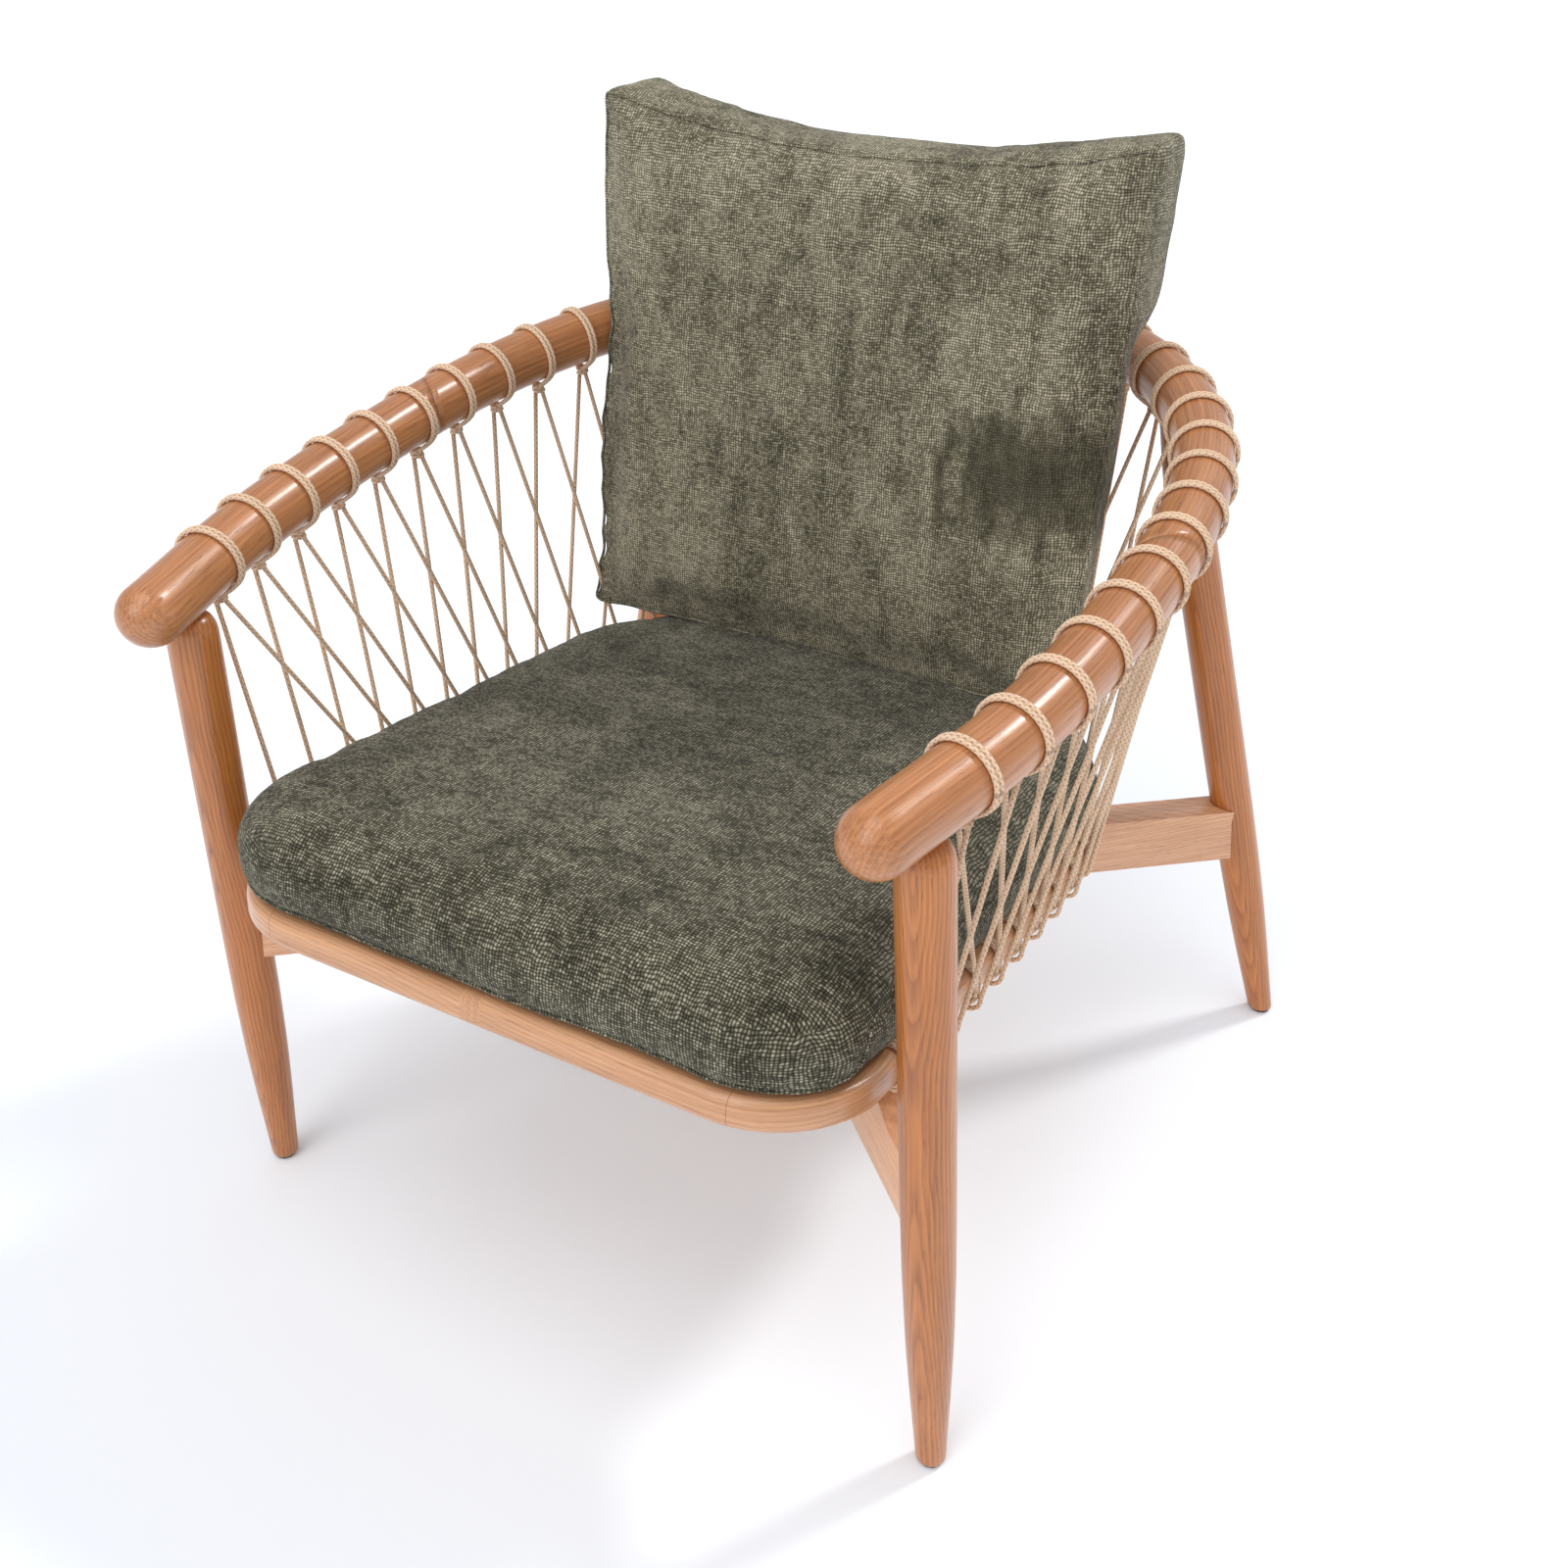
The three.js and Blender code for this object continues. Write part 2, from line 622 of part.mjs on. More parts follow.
/** The points of the ring's outer edge where the cord turns, each with its outward direction. */
function edgeFrames() {
  const outline = outlinePoints(0);
  const start = new THREE.Vector2(RING_HALF_WIDTH, FIRST_STATION_Y);
  const isBack = ({ y }) => y > FIRST_STATION_Y;
  const edge = [start, ...outline.filter(isBack), new THREE.Vector2(-start.x, start.y)];
  const lengths = edge.slice(1).map((point, i) => point.distanceTo(edge[i]));
  const total = lengths.reduce((sum, length) => sum + length, 0);
  return Array.from({ length: STATION_COUNT }, (_, station) => {
    let left = Math.min(total * station / (STATION_COUNT - 1), total - 0.001);
    let i = 0;
    while (left > lengths[i]) left -= lengths[i++];
    const along = edge[i + 1].clone().sub(edge[i]).normalize();
    const at = edge[i].clone().addScaledVector(along, left);
    return { at, out: new THREE.Vector3(along.y, -along.x, 0) };
  });
}

const STATIONS = edgeFrames();

/** A block in a station's frame, of the given reach outwards, height and width. */
function edgeBlock({ at, out }, [x0, x1], [z0, z1], width) {
  const block = new THREE.BoxGeometry(x1 - x0, z1 - z0, width);
  block.translate((x0 + x1) / 2, (z0 + z1) / 2, 0);
  const base = new THREE.Vector3(at.x, at.y, 0);
  return solid(block.applyMatrix4(basis(out, Z, out.clone().cross(Z), base)));
}

const CORD = 2 * CORD_RADIUS;
const TURN_WIDTH = 2 * CORD; // two cords side by side

/** The slot through the ring that a turn of cord passes. */
const turnSlot = (frame) => edgeBlock(
  frame, [-TURN_REACH - CORD - GAP, -TURN_REACH + GAP], [-CORD, 2 * RING_THICKNESS],
  TURN_WIDTH + 2 * GAP,
);

/** A turn of cord round the ring's outer edge, and the points where its strands leave it. */
function edgeTurn(frame) {
  const top = RING_THICKNESS + GAP;
  const full = [-TURN_REACH - CORD, GAP + CORD + LAYER_BOTTOM];
  const turn = edgeBlock(frame, full, [-GAP - CORD, top + CORD], TURN_WIDTH)
    .subtract(edgeBlock(frame, [-TURN_REACH, GAP], [-GAP, top], 2 * TURN_WIDTH));
  const inner = new THREE.Vector3(frame.at.x, frame.at.y, TURN_RISE)
    .addScaledVector(frame.out, GAP + CORD_RADIUS);
  const outer = inner.clone().addScaledVector(frame.out, LAYER_BOTTOM);
  return {
    hitch: turn.transform(seatMatrix.elements),
    inner: inner.applyMatrix4(seatMatrix),
    outer: outer.applyMatrix4(seatMatrix),
  };
}

/** One doubled loop over the rail, with the knot under it that its two strands leave. */
function railLoop(number) {
  const sides = 10;
  const at = railPoint(loopDistance(number));
  const along = railTangent(loopDistance(number));
  const across = along.clone().cross(Z).normalize();
  const up = across.clone().cross(along);
  const radius = (RAIL_RADIUS + LOOP_CLEARANCE + CORD_RADIUS) / Math.cos(Math.PI / sides);
  const ring = new THREE.TorusGeometry(radius, CORD_RADIUS, 4, sides).scale(1, 1, 2);
  ring.applyMatrix4(basis(up, across, along, at));
  const centre = at.clone().addScaledVector(up, -radius - 3);
  const knot = new THREE.OctahedronGeometry(KNOT_RADIUS).translate(...centre);
  return {
    hitch: join([solid(ring), solid(knot)]),
    outer: centre.clone().addScaledVector(across, LAYER_TOP),
    inner: centre.clone().addScaledVector(across, -LAYER_TOP),
  };
}

const strand = (from, to) => solid(rod(from, to, CORD_RADIUS, 4));

/** The turns of the ring that one hitch's two strands run to, and the layer each lies in. */
function strandEnds(loop) {
  const onRight = loop < LOOP_COUNT / 2;
  const own = onRight ? loop : LOOP_COUNT - 1 - loop;
  const isLast = own === LOOP_COUNT / 2 - 1;
  const second = isLast ? [own + 1, 'outer'] : [own + STATION_SHIFT, 'inner'];
  return [[own, 'outer'], second].map(([turn, layer]) =>
    [onRight ? turn : STATION_COUNT - 1 - turn, layer]);
}

/** A length of cord: chosen hitches on the rail, turns of the ring and the strands between. */
function cord(hasHitch, hasTurn) {
  const parts = [];
  for (let turn = 0; turn < STATION_COUNT; turn += 1) {
    if (hasTurn(turn)) parts.push(TURNS[turn].hitch);
  }
  for (let loop = 0; loop < LOOP_COUNT; loop += 1) {
    if (!hasHitch(loop)) continue;
    const hitch = railLoop(loop + 1);
    parts.push(hitch.hitch);
    for (const [turn, layer] of strandEnds(loop)) {
      parts.push(strand(hitch[layer], TURNS[turn][layer]));
    }
  }
  return join(parts);
}

const TURNS = STATIONS.map(edgeTurn);
const MIDDLE_TURN = (STATION_COUNT - 1) / 2;
const isThird = (number) => number % STATION_SHIFT === 0;

// One cord runs all the way round on every third hitch. The others lace one side each: they
// run to the middle of the back on one set of hitches and come back on the next.
const CORDS = {
  lacing_cord_whole: cord(isThird, isThird),
  lacing_cord_right: cord(
    (loop) => !isThird(loop) && loop < LOOP_COUNT / 2,
    (turn) => !isThird(turn) && turn < MIDDLE_TURN,
  ),
  lacing_cord_left: cord(
    (loop) => !isThird(loop) && loop >= LOOP_COUNT / 2,
    (turn) => !isThird(turn) && turn > MIDDLE_TURN,
  ),
};

// ---- Cushions ----

/** The seat cushion: the ring's plan, a little smaller, with rounded edges. */
function seatCushion() {
  const outline = outlineShape(SEAT_CUSHION_INSET);
  return plate(outline, SEAT_CUSHION_HEIGHT, SEAT_CUSHION_EDGE)
    .translate(0, 0, RING_THICKNESS + CUSHION_LIFT);
}

/** A point of the back cushion: across from -1 to 1, depth and up from 0 to 1. */
function backCushionPoint(across, depth, up) {
  const height = BACK_CUSHION_TOP - BACK_CUSHION_BOTTOM;
  const level = BACK_CUSHION_BOTTOM + height * up;
  const pressed = 1 - THREE.MathUtils.smoothstep(level, BACK_CUSHION_NECK, BACK_CUSHION_NECK + 45);
  const fullness = Math.sin(Math.PI * up);
  const front = BACK_CUSHION_FRONT + BACK_CUSHION_LEAN * height * up;
  const swell = BACK_CUSHION_SWELL * (1 - across ** 2) * fullness;
  const crown = BACK_CUSHION_CROWN * (1 - across ** 4) * Math.sqrt(Math.max(fullness, 0));
  const press = BACK_CUSHION_PRESS * (0.75 - 0.25 * across) * across ** 4;
  const back = front + BACK_CUSHION_BOXING + crown - press * pressed;
  const half = BACK_CUSHION_HALF_WIDTH - 10 * (1 - up) ** 3 - 14 * depth * pressed;
  const sag = BACK_CUSHION_SAG * (1 - across ** 2) * up;
  const free = 1 - 0.75 * Math.exp(-(((level - RAIL_LEVEL) / 50) ** 2));
  const flare = BACK_CUSHION_FLARE * free * (1 - depth) ** 2 * Math.max(-across, 0) ** 4;
  const y = THREE.MathUtils.lerp(front - swell, back, depth);
  return [BACK_CUSHION_MIDDLE + half * across - flare, y, level - sag];
}

/** The back cushion: it leans back and swells, and fits against the rail and the cord. */
function backCushion() {
  const cushion = new THREE.BoxGeometry(2, 2, 2, 10, 4, 8);
  const position = cushion.getAttribute('position');
  for (let i = 0; i < position.count; i += 1) {
    const across = position.getX(i);
    const depth = (position.getY(i) + 1) / 2;
    const up = (position.getZ(i) + 1) / 2;
    position.setXYZ(i, ...backCushionPoint(across, depth, up));
  }
  return cushion;
}

// ---- Assembly ----

const chair = new THREE.Group();
const timber = new THREE.Group();
chair.add(timber, seat);

const bolts = ringBolts();
const boltBores = bolts.map(({ bore }) => bore);

// The rail, its joints and the dowels inside them.
const RAIL_NAMES = ['arm_rail_right', 'corner_rail_right', 'back_rail', 'corner_rail_left',
  'arm_rail_left'];
const legBores = Object.values(LEGS).map(({ dowel }) => dowel.bore);
RAIL_NAMES.forEach((name, i) => {
  const length = railLength(RAIL_JOINTS[i - 1], RAIL_JOINTS[i]);
  place(timber, name, OILED_WOOD(), cutAway(length, legBores));
});
const JOINT_NAMES = ['front_right', 'rear_right', 'rear_left', 'front_left'];
RAIL_JOINTS.forEach(({ pin }, i) =>
  place(timber, `rail_dowel_${JOINT_NAMES[i]}`, DOWEL_WOOD(), pin));

// The legs, their top dowels and their glides.
const barDowels = {
  front_left: barDowel(BARS[0], true),
  rear_right: barDowel(BARS[0], false),
  front_right: barDowel(BARS[1], true),
  rear_left: barDowel(BARS[1], false),
};
for (const [name, leg] of Object.entries(LEGS)) {
  const cuts = [floorBlock(leg), glide(leg.foot, GAP), railCutter(leg)];
  const bores = [leg.dowel.bore, barDowels[name].bore];
  place(timber, `${name}_leg`, OILED_WOOD(), cutAway(legBody(leg), [...cuts, ...bores]));
  place(timber, `leg_dowel_${name}`, DOWEL_WOOD(), leg.dowel.pin);
  place(timber, `stretcher_dowel_${name}`, DOWEL_WOOD(), barDowels[name].pin);
  place(timber, `foot_glide_${name}`, NYLON(), glide(leg.foot, 0));
}

// The two stretchers, halved over each other where they cross.
const worldBolts = boltBores.map((bore) => bore.transform(seatMatrix.elements));
const BAR_ENDS = [['front_left', 'rear_right'], ['front_right', 'rear_left']];
BARS.forEach((bar, i) => {
  const lap = lapCutter(BARS[1 - i], i === 0 ? 1 : -1);
  const ends = BAR_ENDS[i].flatMap((name) => [legCutter(LEGS[name]), barDowels[name].bore]);
  const body = cutAway(barSolid(bar, BAR_THICKNESS), [lap, ...ends, ...worldBolts]);
  place(timber, `stretcher_${BAR_ENDS[i].join('_to_')}`, OILED_WOOD(), body);
});

// The seat ring in four pieces, with its dowels and bolts.
const dowels = ringDowels();
const screws = DECK_SCREW_SPOTS.map((spot) => deckScrew(spot, GAP));
const slots = STATIONS.map(turnSlot);
const ringTools = [...dowels.map(({ bore }) => bore), ...boltBores, ...screws, ...slots];
const ring = cutAway(wholeRing(), ringTools);
for (const [name, limits] of Object.entries(RING_WINDOWS)) {
  place(seat, name, OILED_WOOD(), ring.intersect(ringWindow(...limits)));
}
dowels.forEach(({ name, pin }) => place(seat, name, DOWEL_WOOD(), pin));
bolts.forEach(({ name, pin }) => place(seat, name, STEEL(), pin));

// The vented deck, let into the ring's rebate, and its screws.
const deckPlate = plate(outlineShape(RING_WIDTH - REBATE_WIDTH + GAP), DECK_THICKNESS);
const vents = DECK_VENTS.map(([x, y]) => {
  const low = new THREE.Vector3(x, y, 0);
  return solid(rod(low, low.clone().setZ(2 * RING_THICKNESS), VENT_RADIUS, 12));
});
const deck = solid(deckPlate.translate(0, 0, RING_THICKNESS - DECK_THICKNESS));
place(seat, 'seat_deck', PLYWOOD(), cutAway(deck, [...vents, ...screws]));
DECK_SCREW_SPOTS.forEach((spot, i) =>
  place(seat, `deck_screw_${i + 1}`, STEEL(), deckScrew(spot, 0)));

// The three interleaved lengths of cord.
Object.entries(CORDS).forEach(([name, length]) => place(timber, name, ROPE(), length));

// The loose cushions.
place(seat, 'seat_cushion', FABRIC(), seatCushion());
place(timber, 'back_cushion', FABRIC(), backCushion());

// The origin is on the floor, at the centre of the chair's box.
const box = new THREE.Box3().setFromObject(chair, true);
chair.position.y = -(box.min.y + box.max.y) / 2;

export default chair;
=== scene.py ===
"""A lounge armchair's looks: timber, braided cord, two stuffed cushions, floor, light and camera.

Shapes are drawn in millimetres in the chair's building frame, where the front feet stand on y = 0 and
-Y is the front. place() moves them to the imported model's frame, in metres.
"""

import json
import math
from contextlib import contextmanager
from itertools import product

import bmesh
import bpy
import numpy as np
from mathutils import Matrix, Vector
from mathutils.kdtree import KDTree


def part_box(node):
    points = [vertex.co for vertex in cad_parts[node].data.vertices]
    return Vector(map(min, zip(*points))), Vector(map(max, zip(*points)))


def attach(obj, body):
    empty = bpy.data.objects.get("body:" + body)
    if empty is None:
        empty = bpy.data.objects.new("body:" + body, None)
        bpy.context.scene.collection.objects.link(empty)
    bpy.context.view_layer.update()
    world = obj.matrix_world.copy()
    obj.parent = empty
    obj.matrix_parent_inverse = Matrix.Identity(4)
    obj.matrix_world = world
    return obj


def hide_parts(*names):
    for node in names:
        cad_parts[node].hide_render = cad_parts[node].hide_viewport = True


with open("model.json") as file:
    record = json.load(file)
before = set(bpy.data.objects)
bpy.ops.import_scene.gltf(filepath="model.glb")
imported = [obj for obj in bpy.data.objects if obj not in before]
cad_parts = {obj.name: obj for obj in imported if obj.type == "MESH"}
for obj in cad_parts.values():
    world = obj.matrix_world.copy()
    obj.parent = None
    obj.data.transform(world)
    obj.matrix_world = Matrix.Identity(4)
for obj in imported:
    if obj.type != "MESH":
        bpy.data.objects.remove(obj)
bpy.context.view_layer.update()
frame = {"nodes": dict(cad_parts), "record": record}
MOUNTS = {mount["name"]: mount for mount in frame["record"]["mounts"]}
SHIFT = np.array([0.0, MOUNTS["foot_front_right"]["pos_m"][1], 0.0])

# ---- Dimensions, mm, the same as the part's ----

RAIL_RADIUS = 24.0
RAIL_HEIGHT, RAIL_RISE = 591.0, 0.105
RAIL_HALF_PLAN = [(289, -56), (318, 75), (330, 230), (325, 375), (298, 492), (252, 578), (180, 648),
                  (92, 679)]
RAIL_BACK = 686
SCARF_ANGLE = math.radians(35)
LEG_RADIUS = 19.5
LEG_TAPER = [(0, 11.5), (35, 13.2), (80, 15.6), (133, 17.8), (200, 19.2), (250, 19.5)]
FRONT_FOOT, REAR_FOOT = (330.0, 0.0), (395.0, 661.0)
FRONT_LEG_Y = -14.0
FRONT_LEG_END = [(41, 1.0), (34, 0.95), (28.5, 0.82), (25, 0.62), (22.5, 0.35)]
REAR_LEG_END = [(36, 0.8), (20, 0.78), (13.5, 0.66), (10.5, 0.5)]
GLIDE_HEIGHT = 3.0
SEAT_HEIGHT, SEAT_SLOPE = 332.0, 0.11
RING_HALF_WIDTH, RING_FRONT, RING_CORNER = 274.0, -83.0, 90.0
RING_SIDE_END, RING_BACK_DEPTH = 360.0, 240.0
RING_WIDTH, RING_THICKNESS, RING_EDGE = 42.0, 28.0, 9.0
RING_FRONT_JOINT, RING_BACK_JOINT = 200.0, 377.0
REBATE_WIDTH, DECK_THICKNESS = 12.0, 9.0
LOOP_COUNT, FIRST_LOOP_Y = 34, 21.0
STATION_SHIFT, FIRST_STATION_Y = 3, 31.0
STATION_COUNT = LOOP_COUNT + STATION_SHIFT
CORD_RADIUS = 2.0
TURN_SPACING, HITCH_SPACING = 2.15, 2.05
HITCH_RADIUS = 0.9 * CORD_RADIUS
LAYER_TOP, LAYER_BOTTOM = 4.4, 4.3
KNOT_DROP = 32.0
TURN_REACH, TURN_RISE = 13.0, 11.0
GAP = 0.3


# ---- Meshes ----

Z = np.array([0.0, 0.0, 1.0])


def unit(v):
    return v / np.linalg.norm(v, axis=-1, keepdims=True)


def distances(path):
    """How far along a path each of its points is."""
    return np.concatenate([[0], np.cumsum(np.linalg.norm(np.diff(path, axis=0), axis=1))])


def sample(path, along, s):
    """A path's points, or what goes with them, at distances s."""
    return np.stack([np.interp(s, along, values) for values in path.T], -1)


def full_turn(count):
    return np.arange(count) * 2 * math.pi / count


def around(across, other, angle, radius):
    """Points round a circle on two axes, from its centre."""
    return across * (radius * np.cos(angle))[..., None] + other * (radius * np.sin(angle))[..., None]


def grid_faces(rows, columns, wrap_rows=False, caps=False):
    """Quads of a grid of rows, whose columns wrap round, and a face over each end."""
    faces = []
    for i in range(rows if wrap_rows else rows - 1):
        a, b = i * columns, (i + 1) % rows * columns
        for j in range(columns):
            k = (j + 1) % columns
            faces.append((a + j, a + k, b + k, b + j))
    if caps:
        tail = (rows - 1) * columns
        faces += [tuple(range(columns))[::-1], tuple(range(tail, tail + columns))]
    return faces


def part(points, faces, grain):
    return points.reshape(-1, 3), faces, grain.reshape(-1, 3)


def add_object(name, data):
    thing = bpy.data.objects.new(name, data)
    bpy.context.scene.collection.objects.link(thing)
    return thing


@contextmanager
def editing(mesh):
    """A mesh as a bmesh, written back at the end."""
    shape = bmesh.new()
    shape.from_mesh(mesh)
    yield shape
    shape.to_mesh(mesh)
    shape.free()


def set_grain(mesh, grain):
    """Stores a place in the timber or cord, in metres, for the materials."""
    layer = mesh.attributes.new("grain", "FLOAT_VECTOR", "POINT")
    layer.data.foreach_set("vector", grain.astype(np.float32).ravel())


def place(name, parts, replaces=(), material=None):
    """One piece from parts of (vertices in mm, faces, grain vectors in mm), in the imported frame."""
    vertices, faces, grain = [], [], []
    for points, part_faces, part_grain in parts:
        first = len(vertices)
        vertices.extend(np.asarray(points))
        faces.extend(tuple(first + i for i in face) for face in part_faces)
        grain.extend(np.asarray(part_grain))
    mesh = bpy.data.meshes.new(name)
    mesh.from_pydata((np.array(vertices) / 1000 + SHIFT).tolist(), [], faces)
    set_grain(mesh, np.array(grain) / 1000)
    mesh.update()
    mesh.shade_smooth()
    piece = add_object(name, mesh)
    fix_normals(piece)
    finish_piece(piece, replaces, material)
    return piece


def fix_normals(piece):
    with editing(piece.data) as shape:
        bmesh.ops.recalc_face_normals(shape, faces=shape.faces)


def finish_piece(piece, replaces, material):
    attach(piece, "root")
    if replaces:
        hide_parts(*replaces)
    if material:
        piece.data.materials.clear()
        piece.data.materials.append(material)


def tube(points, angle, radius, along, closed=False):
    """A part from a grid of points, whose grain says how far across and along it each one is."""
    grain = np.stack(np.broadcast_arrays(radius * np.cos(angle), radius * np.sin(angle), along), -1)
    return part(points, grid_faces(*grain.shape[:2], wrap_rows=closed, caps=not closed), grain)


def sweep(path, radius, sides, up=Z, closed=False):
    """A round cord along points."""
    path = np.asarray(path, float)
    if closed:
        tangent = unit(np.roll(path, -1, 0) - np.roll(path, 1, 0))
    else:
        tangent = unit(np.gradient(path, axis=0))
    side = unit(np.cross(tangent, up))[:, None]
    over = np.cross(side, tangent[:, None])
    angle = full_turn(sides)
    points = path[:, None] + around(side, over, angle, radius)
    return tube(points, angle, radius, distances(path)[:, None], closed)


# ---- Rail curve ----

def centripetal(points, per_segment=220):
    """A centripetal Catmull-Rom curve through points."""
    points = np.asarray(points, float)
    before = 2 * points[0] - points[1]
    after = 2 * points[-1] - points[-2]
    q = np.vstack([before, points, after])
    t = np.linspace(0, 1, per_segment, endpoint=False)[:, None]
    out = []
    for i in range(len(points) - 1):
        p0, p1, p2, p3 = q[i:i + 4]
        d0, d1, d2 = (np.linalg.norm(b - a) ** 0.5 for a, b in ((p0, p1), (p1, p2), (p2, p3)))
        m1 = ((p1 - p0) / d0 - (p2 - p0) / (d0 + d1) + (p2 - p1) / d1) * d1
        m2 = ((p2 - p1) / d1 - (p3 - p1) / (d1 + d2) + (p3 - p2) / d2) * d1
        square, cube = -3 * p1 + 3 * p2 - 2 * m1 - m2, 2 * p1 - 2 * p2 + m1 + m2
        out.append(p1 + m1 * t + square * t ** 2 + cube * t ** 3)
    return np.vstack(out + [points[-1:]])


def rail_plan():
    plan = RAIL_HALF_PLAN + [(0, RAIL_BACK)] + [(-x, y) for x, y in reversed(RAIL_HALF_PLAN)]
    return [(x, y, RAIL_HEIGHT + RAIL_RISE * y) for x, y in plan]


RAIL = centripetal(rail_plan())
RAIL_ALONG = distances(RAIL)
RAIL_LENGTH = RAIL_ALONG[-1]
RAIL_TANGENT = unit(np.gradient(RAIL, RAIL_ALONG, axis=0))


def rail_frame(s):
    """Centre, tangent, outward side and up of the rail at distances along it."""
    s = np.asarray(s, float)
    inside = np.clip(s, 0, RAIL_LENGTH)
    along = unit(sample(RAIL_TANGENT, RAIL_ALONG, inside))
    at = sample(RAIL, RAIL_ALONG, inside) + along * (s - inside)[..., None]
    side = unit(np.cross(along, Z))
    return at, along, side, np.cross(side, along)


RIGHT_HALF = RAIL_ALONG < RAIL_LENGTH / 2


def rail_distance_at(y):
    return float(np.interp(y, RAIL[RIGHT_HALF, 1], RAIL_ALONG[RIGHT_HALF]))


FIRST_LOOP = rail_distance_at(FIRST_LOOP_Y)
LOOP_PITCH = (RAIL_LENGTH - 2 * FIRST_LOOP) / (LOOP_COUNT - 1)


def loop_distance(number):
    return FIRST_LOOP + (number - 1) * LOOP_PITCH


# ---- Materials ----

class Nodes:
    """A short way to write a material's nodes."""

    def __init__(self, name):
        self.material = bpy.data.materials.new(name)
        self.material.use_nodes = True
        self.tree = self.material.node_tree
        self.shader = self.tree.nodes["Principled BSDF"]

    def node(self, kind, inputs=(), **settings):
        node = self.tree.nodes.new(kind)
        for key, value in settings.items():
            setattr(node, key, value)
        for socket, value in dict(inputs).items():
            self.put(node.inputs[socket], value)
        return node

    def put(self, socket, value):
        if isinstance(value, bpy.types.NodeSocket):
            self.tree.links.new(value, socket)
        else:
            socket.default_value = value

    def math(self, operation, *values):
        return self.node("ShaderNodeMath", dict(enumerate(values)), operation=operation).outputs[0]

    def times(self, *values):
        return self.math("MULTIPLY", *values)

    def plus(self, *values):
        return self.math("ADD", *values)

    def minus(self, *values):
        return self.math("SUBTRACT", *values)

    def over(self, *values):
        return self.math("DIVIDE", *values)

    def ramp(self, factor, *stops):
        """A colour ramp of (position, grey value) or (position, colour)."""
        node = self.node("ShaderNodeValToRGB", {"Fac": factor})
        elements = node.color_ramp.elements
        while len(elements) < len(stops):
            elements.new(0.5)
        for element, (position, colour) in zip(elements, stops):
            element.position = position
            grey = isinstance(colour, (int, float))
            element.color = (colour, colour, colour, 1) if grey else (*colour, 1)
        return node.outputs[0]

    def noise(self, vector, stretch, detail=2.0, roughness=0.5, distortion=0.0, output="Fac"):
        """Noise on a vector that is first stretched by three factors, or by one for all."""
        stretch = stretch if isinstance(stretch, tuple) else (stretch,) * 3
        mapped = self.node("ShaderNodeMapping", {"Vector": vector, "Scale": stretch}).outputs[0]
        node = self.node("ShaderNodeTexNoise", {"Vector": mapped, "Scale": 1.0, "Detail": detail,
                                                "Roughness": roughness, "Distortion": distortion})
        return node.outputs[output]

    def mix(self, factor, a, b):
        a, b = ((*value, 1) if isinstance(value, tuple) else value for value in (a, b))
        return self.node("ShaderNodeMix", {0: factor, 6: a, 7: b}, data_type="RGBA").outputs[2]

    def bump(self, height, distance, strength):
        inputs = {"Height": height, "Distance": distance, "Strength": strength}
        return self.node("ShaderNodeBump", inputs).outputs[0]

    def split(self, vector):
        return self.node("ShaderNodeSeparateXYZ", {"Vector": vector}).outputs

    def attribute(self, name):
        return self.node("ShaderNodeAttribute", attribute_name=name).outputs["Vector"]

    def place_vector(self):
        return self.node("ShaderNodeTexCoord").outputs["Object"]

    def surface(self, **sockets):
        for name, value in sockets.items():
            self.put(self.shader.inputs[name.replace("_", " ")], value)
        return self.material


def wood(name, dark, light, pith=(0.0, -0.027), ring=0.0032, figure=0.30, from_grain=True):
    """Oiled open-grained timber: growth rings round a wandering pith, long streaks and pores."""
    n = Nodes(name)
    base = n.attribute("grain") if from_grain else n.place_vector()
    x, y, z = n.split(base)
    wander = n.noise(base, (14, 14, 4.0), 3.0, 0.6)
    bend = n.times(n.minus(wander, 0.5), 0.012)
    swing = n.times(n.math("SINE", n.times(z, 9.0)), 0.009)
    dx = n.plus(n.plus(x, pith[0]), bend)
    dy = n.plus(n.plus(y, pith[1]), n.plus(swing, bend))
    radius = n.math("SQRT", n.plus(n.times(dx, dx), n.times(dy, dy)))
    rings = n.math("FRACT", n.over(radius, ring))
    band = n.ramp(rings, (0.0, 0.15), (0.35, 0.55), (0.75, 1.0), (0.93, 0.75), (1.0, 0.15))
    streak = n.noise(base, (360, 360, 6), 5.0, 0.68)
    fine = n.noise(base, (1700, 1700, 26))
    cloud = n.noise(base, (30, 30, 4), 3.0, 0.55)
    tone = n.plus(n.times(band, figure), n.times(streak, 0.80))
    for layer, part_of_tone in ((fine, 0.30), (cloud, 0.55)):
        tone = n.plus(tone, n.times(layer, part_of_tone))
    middle = 0.825 + 0.55 * figure
    colour = n.mix(n.ramp(n.times(tone, 0.6 / middle), (0.42, 0.0), (0.79, 1.0)), dark, light)
    pores = n.noise(base, (1500, 1500, 60), 2.0, 0.55)
    pore = n.ramp(pores, (0.60, 0.0), (0.68, 1.0))
    pored = n.times(pore, n.ramp(band, (0.2, 1.0), (0.9, 0.3)))
    deep = tuple(channel * 0.36 for channel in dark)
    colour = n.mix(n.times(pored, 0.6), colour, deep)
    height = n.minus(n.times(streak, 0.3), pored)
    rough = n.plus(n.times(streak, 0.12), n.times(pored, 0.2))
    return n.surface(Base_Color=colour, Roughness=n.plus(rough, 0.28), Specular_IOR_Level=0.5,
                     Coat_Weight=0.4, Coat_Roughness=0.2, Normal=n.bump(height, 0.0002, 0.45))


